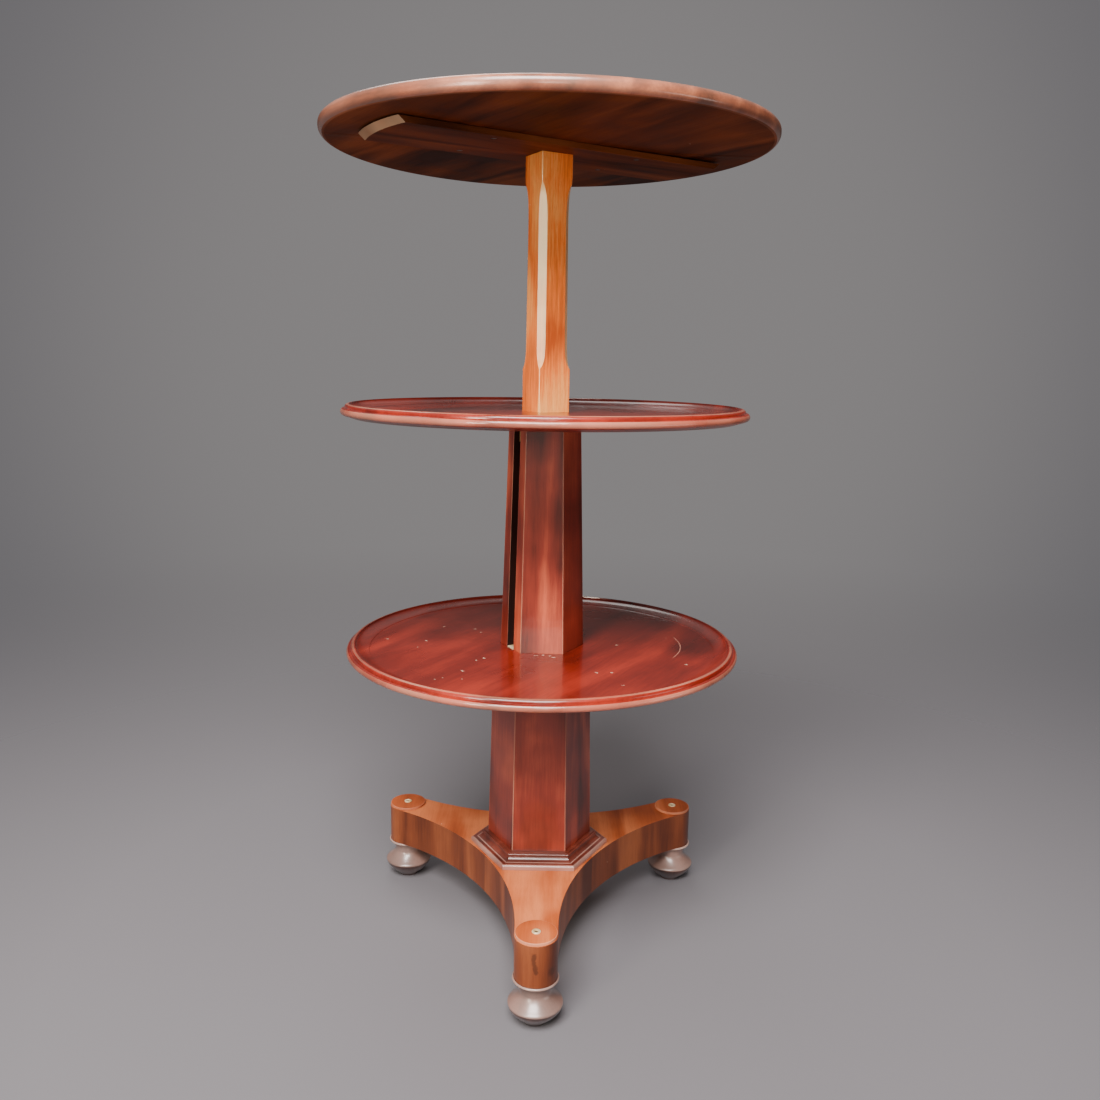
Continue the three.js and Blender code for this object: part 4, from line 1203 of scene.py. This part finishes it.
def foot_wear_and_sheen(face):
    """How pale a face of the foot is painted: wear and a painted highlight on the collar's edge, a
    painted sheen on the flare.
    """
    middle = face.calc_center_median()
    if collar_low < middle.z < seat and middle.xy.length > COLLAR - WORN_AND_SHEEN_COLLAR:
        return COLLAR_WEAR_AND_SHEEN
    return FLARE_SHEEN if BUN_WIDEST < middle.z < collar_low - DARK_NECK else 0


paint_wear_and_sheen(foot, foot_wear_and_sheen)
print("foot faces:", len(foot.faces))

# %% [markdown]
# ## Pads and eyes
#
# A round pad stands on each arm's end. A screw goes down through it into the foot, and its head is
# sunk in a small bore. A brass ring round the bore makes an eye.

# %% Pads and eyes
PAD = ARM_END - 0.7 * MM
PAD_EDGE = 0.8 * MM
PAD_WEAR_AND_SHEEN = 0.7
HEAD_BORE = 4.4 * MM
HEAD_DEPTH = 1.8 * MM
EYE = 6 * MM
EYE_BORE = 2.4 * MM
EYE_SEAT = 0.6 * MM
EYE_RISE = 0.85 * MM
EYE_STEPS = 48
pad_low, pad_high = span("arm_pad_front")
head_seat = pad_high - EYE_SEAT - HEAD_DEPTH - 2 * GLUE_GAP
pen = Pen(FOOT_SCREW + GLUE_GAP, pad_low).line(PAD, pad_low)
pen.arc(PAD - PAD_EDGE, pad_high - PAD_EDGE, PAD_EDGE, PAD_EDGE, 0, 90, 5)
pen.lines((EYE + GLUE_GAP, pad_high), (EYE + GLUE_GAP, pad_high - EYE_SEAT),
          (HEAD_BORE, pad_high - EYE_SEAT), (HEAD_BORE, head_seat),
          (FOOT_SCREW + GLUE_GAP, head_seat))
pad = spun(pen.close(), FOOT_STEPS)
# The pad's edge is painted paler: partly wear, partly a painted highlight.
paint_wear_and_sheen(pad, lambda face: PAD_WEAR_AND_SHEEN * (face.calc_center_median().xy.length > PAD - PAD_EDGE))

eye_low = span("pad_eye_front")[0]
pen = Pen(EYE_BORE, eye_low).line(EYE, eye_low)
pen.arc((EYE + EYE_BORE) / 2, eye_low + EYE_RISE, (EYE - EYE_BORE) / 2, EYE_RISE, 0, 180, 10)
eye = spun(pen.close(), EYE_STEPS)
for side, degrees in ARM_ANGLES.items():
    for name, shape in (("foot_", foot), ("arm_pad_", pad), ("pad_eye_", eye)):
        finished(name + side, at_angle(shape.copy(), degrees, ARM_REACH))
print("pad faces:", len(pad.faces), "eye faces:", len(eye.faces))

# %% [markdown]
# ## The post
#
# The post is a square that tapers upwards. Its four arrises are chamfered, and each chamfer dies
# out in a lamb's tongue near either end. Above the upper ones the square swells to a small head
# block. Each section is an octagon: the outline is extruded from one height to the next, and its
# eight corners are set apart by the width of the chamfer there.

# %% The post's sections
SHAFT_FOOT = 48.4 * MM
SHAFT_HEAD = 45.6 * MM
HEAD_SIDE = 47.2 * MM
CHAMFER = 8.7 * MM
POST_ARRIS = 0.6 * MM
LOW_TONGUE = 8.5 * MM
HIGH_TONGUE = 13 * MM
BATTEN_LOW = span("top_batten")[0]
post_foot = span("middle_bearer")[0] - 0.3 * MM
post_head = BATTEN_LOW - GLUE_GAP
low_tip = span("middle_tray")[0] + 69 * MM
high_tip = BATTEN_LOW - 38.8 * MM
block_z = BATTEN_LOW - 26 * MM
flare_z = block_z - 20 * MM


def post_side(z):
    """The side of the square at a height."""
    if z <= low_tip:
        return POST_SIDE
    share = (min(z, flare_z) - low_tip) / (flare_z - low_tip)
    side = SHAFT_FOOT + share * (SHAFT_HEAD - SHAFT_FOOT)
    swell = min(max((z - flare_z) / (block_z - flare_z), 0), 1)
    return side + (HEAD_SIDE - side) * swell * swell * (3 - 2 * swell)


def post_chamfer(z):
    """How much of each side the chamfer takes at a height."""
    share = min((z - low_tip) / LOW_TONGUE, (high_tip - z) / HIGH_TONGUE)
    return POST_ARRIS + (CHAMFER - POST_ARRIS) * (1 - math.exp(-max(share, 0)))


def set_section(verts, z):
    """Puts eight corners on the post's outline at a height."""
    half = post_side(z) / 2
    near = half - post_chamfer(z)
    for vert in verts:
        x, y = vert.co.xy
        vert.co = (math.copysign(half if abs(x) > abs(y) else near, x),
                   math.copysign(near if abs(x) > abs(y) else half, y), z)


print("post from", round(post_foot, 4), "to", round(post_head, 4))

# %% Draw the post up
TONGUE_SHARES = (0.12, 0.3, 0.55, 0.9, 1.3, 1.8, 2.5, 3.4, 4.5)
HEAD_SHARES = (0.2, 0.4, 0.6, 0.8, 1)
CORNER_TURN = math.radians(22.5)
CHAMFER_WEAR_AND_SHEEN = 0.95
HEAD_TENON = 14 * MM
FOOT_PIN = 15 * MM
SCREW_BORE = 2.7 * MM
SCREW_BORE_DEPTH = 28.2 * MM
low, high = span("post")
heights = [post_foot, low_tip]
heights += [low_tip + share * LOW_TONGUE for share in TONGUE_SHARES]
heights += [high_tip - share * HIGH_TONGUE for share in (*reversed(TONGUE_SHARES), 0)]
heights += [high_tip + share * (block_z - high_tip) for share in HEAD_SHARES] + [post_head]
post = bmesh.new()
ring = bmesh.ops.create_circle(post, segments=8, radius=POST_SIDE)["verts"]
bmesh.ops.rotate(post, verts=ring, matrix=Matrix.Rotation(CORNER_TURN, 3, "Z"))
set_section(ring, heights[0])
edges = post.edges[:]
bmesh.ops.contextual_create(post, geom=edges)
for z in heights[1:]:
    grown = bmesh.ops.extrude_edge_only(post, edges=edges)["geom"]
    edges = [item for item in grown if isinstance(item, bmesh.types.BMEdge)]
    set_section([item for item in grown if isinstance(item, bmesh.types.BMVert)], z)
bmesh.ops.contextual_create(post, geom=edges)
bmesh.ops.recalc_face_normals(post, faces=post.faces)
# The chamfers are painted a straw colour: partly wear, partly a painted highlight.
paint_wear_and_sheen(post, lambda face: CHAMFER_WEAR_AND_SHEEN * (min(abs(face.normal.x), abs(face.normal.y)) > 0.3))
for pin in (rod(HEAD_TENON, post_head - OVERRUN, high), rod(FOOT_PIN, low, post_foot + OVERRUN)):
    pin_mesh = bpy.data.meshes.new("pin")
    pin.to_mesh(pin_mesh)
    post.from_mesh(pin_mesh)
bore = rod(SCREW_BORE, low - OVERRUN, low + SCREW_BORE_DEPTH, 14)
finished("post", at_angle(carved(post, bore), POST_ANGLE))
print("post drawn through", len(heights), "sections")

# %% [markdown]
# ## The top and its batten
#
# The top is one turned board with round edges. A batten crosses the grain below it. It is a strip
# cut from a disc, so its ends follow the top's rim, and they are bevelled and given a pale painted
# sheen. Both are bored for the post's tenon and for the four sunk screws that hold the batten.

# %% Turn the top and cut the batten
TOP_EDGE = 8 * MM
MORTISE = HEAD_TENON + GLUE_GAP
MORTISE_DEPTH = 11.2 * MM
BATTEN_REACH = 256 * MM
BATTEN_HALF = 124 * MM / 2
BATTEN_BEVEL = 9 * MM
BATTEN_ARRIS = 0.8 * MM
BATTEN_ANGLE = 32.6
UPWARDS = 2
top_low, top_high = span("top_board")
radius = reach("top_board")
mortise_top = top_low + MORTISE_DEPTH
pen = Pen(0, mortise_top).lines((MORTISE, mortise_top), (MORTISE, top_low))
pen.arc(radius - TOP_EDGE, top_low + TOP_EDGE, TOP_EDGE, TOP_EDGE, -90, 0, 8)
pen.arc(radius - TOP_EDGE, top_high - TOP_EDGE, TOP_EDGE, TOP_EDGE, 0, 90, 8)
board = spun(pen.line(0, top_high))
pen = Pen(MORTISE, BATTEN_LOW).lines(
    (BATTEN_REACH - BATTEN_BEVEL, BATTEN_LOW), (BATTEN_REACH, top_low - GLUE_GAP),
    (MORTISE, top_low - GLUE_GAP),
)
batten = spun(pen.close())
for sign in (-1, 1):
    sawn(batten, (0, sign * BATTEN_HALF, 0), (0, sign, 0))
bmesh.ops.recalc_face_normals(batten, faces=batten.faces)
soften(batten, [edge for edge in batten.edges if lies_at(edge, UPWARDS, BATTEN_LOW)
                and (lies_at(edge, ACROSS, BATTEN_HALF) or lies_at(edge, ACROSS, -BATTEN_HALF))],
       BATTEN_ARRIS, 2)
# Painted sheen on the batten's bevelled ends; its other faces get none.
paint_wear_and_sheen(batten, lambda face: int(
    face.calc_center_median().xy.length > BATTEN_REACH - BATTEN_BEVEL
    and abs(face.normal.z) < 0.9))
at_angle(batten, BATTEN_ANGLE)
print("board faces:", len(board.faces), "batten faces:", len(batten.faces))

# %% [markdown]
# The top has warped a little with age, and its two sides stand up by some millimetres. So its
# vertices rise by the square of their distance to the middle line. Its underside takes the dull
# wood, and its rim is painted a little paler, partly as wear and partly as a painted highlight.

# %% Screw holes and warp
SCREW_ALONG = 112 * MM
SCREW_ACROSS = 46 * MM
SINK = 4.2 * MM
SINK_DEPTH = 2.4 * MM
BATTEN_SCREW = 2.2 * MM
BATTEN_SCREW_LENGTH = 20.2 * MM
WARP = 4.5 * MM
RIM_WEAR_AND_SHEEN = 0.25
hole_low = BATTEN_LOW - OVERRUN
hole_high = BATTEN_LOW + BATTEN_SCREW_LENGTH
screw_seat = BATTEN_LOW + GLUE_GAP
for along in (-SCREW_ALONG, SCREW_ALONG):
    for across in (-SCREW_ACROSS, SCREW_ACROSS):
        turn = Matrix.Rotation(math.radians(BATTEN_ANGLE), 4, "Z")
        hole = spun(Pen(0, hole_low).lines(
            (SINK, hole_low), (SINK, screw_seat), (BATTEN_SCREW, screw_seat + SINK_DEPTH),
            (BATTEN_SCREW, hole_high), (0, hole_high),
        ), 16)
        bmesh.ops.translate(hole, verts=hole.verts, vec=turn @ Vector((along, across, 0)))
        batten = carved(batten, hole.copy())
        board = carved(board, hole)
for vert in board.verts:
    vert.co.z += WARP * (vert.co.x / radius) ** 2
board.normal_update()
# The rim is painted a little paler: partly wear, partly a painted highlight.
paint_wear_and_sheen(board, lambda face: RIM_WEAR_AND_SHEEN * (face.calc_center_median().xy.length > radius - TOP_EDGE))
for face in board.faces:
    face.material_index = int(face.normal.z < -0.9)
finished("top_board", board, [top_wood, under_wood])
finished("top_batten", batten, [batten_wood])

# %% [markdown]
# ## Floor and backdrop
#
# The table stands on a plain grey floor that fades into the backdrop, so that no horizon shows. The
# backdrop is what the camera sees of the world, a little paler straight ahead. What lights the
# table and mirrors in the polish is another thing: a dim room with a paler ceiling, darker on the
# right.

# %% Floor
FADE_FROM = 0.7
FADE_TO = 3.2
FADE_POWER = 1.5
FLOOR_SEGMENTS = 96

floor_bm = bmesh.new()
bmesh.ops.create_circle(floor_bm, cap_ends=True, segments=FLOOR_SEGMENTS, radius=FADE_TO)
floor_mesh = bpy.data.meshes.new("studio_floor")
floor_bm.to_mesh(floor_mesh)
floor_bm.free()
floor = linked("studio_floor", floor_mesh)
floor_material, tree, shader = new_material("studio_floor")
shader.inputs["Base Color"].default_value = srgb(113, 112, 117)
shader.inputs["Roughness"].default_value = 0.7
shader.inputs["Specular IOR Level"].default_value = 0.2
fading = spread(tree, distance(tree, on_object(tree)), FADE_FROM, FADE_TO, 1, 0)
tree.links.new(maths(tree, "POWER", fading, FADE_POWER), shader.inputs["Alpha"])
floor_mesh.materials.append(floor_material)
print("floor fades from", FADE_FROM, "to", FADE_TO, "m")

# %% Backdrop and room
GLOW_FROM, GLOW_TO = 0.8, 1.0
DARK_FROM, DARK_TO = 0.3, 0.8
ROOM = [(0, srgb(120, 110, 108)), (0.1, srgb(84, 74, 72)), (0.25, srgb(66, 56, 54)),
        (0.36, srgb(135, 125, 122)), (1, srgb(190, 184, 180))]

world = bpy.data.worlds.new("studio")
bpy.context.scene.world = world
world.use_nodes = True
tree = world.node_tree
tree.nodes.clear()
heading = add(tree, "TexCoord").outputs["Generated"]
axes = add(tree, "SeparateXYZ", {"Vector": heading}).outputs
glow = spread(tree, axes["Y"], GLOW_FROM, GLOW_TO, interpolation_type="SMOOTHERSTEP")
backdrop = mix(tree, glow, srgb(107, 105, 108), srgb(134, 131, 131))
to_right = spread(tree, axes["X"], DARK_FROM, DARK_TO, 0, 0.8)
room = mix(tree, to_right, ramp(tree, axes["Z"], ROOM), srgb(30, 26, 24))
seen = add(tree, "LightPath").outputs["Is Camera Ray"]
sky = add(tree, "Background", {"Color": mix(tree, seen, room, backdrop), "Strength": 1.0})
add(tree, "OutputWorld", {"Surface": sky.outputs["Background"]})
print("world:", world.name, "with", len(tree.nodes), "nodes")

# %% [markdown]
# ## Lights
#
# A large soft key light hangs above and behind the camera, a little to the left. A tall narrow one
# stands to its left, which the chamfer of the post mirrors, and a low weak one on the right lifts
# the shadows of the plinth. A weak one high behind the table draws the far rims. The last one is
# small. It stands behind the camera, level with the post, and gives its polish a soft gleam.

# %% Soft lights
def soft_light(name, place, aim, size, power, colour):
    """A rectangular light that looks at a point."""
    data = bpy.data.lights.new(name, "AREA")
    data.shape = "RECTANGLE"
    data.size, data.size_y = size
    data.energy = power
    data.color = colour
    light = linked(name, data)
    light.location = place
    light.rotation_euler = (Vector(aim) - Vector(place)).to_track_quat("-Z", "Y").to_euler()
    light.visible_camera = False


soft_light("key", (-0.4, -2.25, 3.0), (0, 0, 0.6), (2.0, 1.6), 310, (1, 0.94, 0.9))
soft_light("left", (-1.5, -2.2, 1.15), (0, 0, 0.9), (0.45, 1.1), 42, (1, 0.88, 0.74))
soft_light("right", (2.2, -1.0, 0.35), (0, 0, 0.5), (1.4, 0.5), 7, (1, 0.88, 0.82))
soft_light("back", (-0.7, 1.9, 3.3), (0, 0, 0.6), (1.6, 1.2), 24, (1, 0.97, 0.94))
soft_light("behind", (0.05, -3.0, 1.15), (0, 0, 0.95), (0.5, 0.7), 12, (1, 0.9, 0.78))

# %% [markdown]
# ## The nodes that stay
#
# Springs, screws, the shoe, its washer and the board below the plinth are right as they are. They
# keep their shape and take their finish here, and so does every node behind a finished piece.

# %% Carry the finishes over to the nodes that stay
for node, piece in frame["nodes"].items():
    piece.data.materials.clear()
    piece.data.materials.append(MATERIAL_OF_SLOT[SLOT_OF[node]])
print("finishes carried over to", len(frame["nodes"]), "nodes")
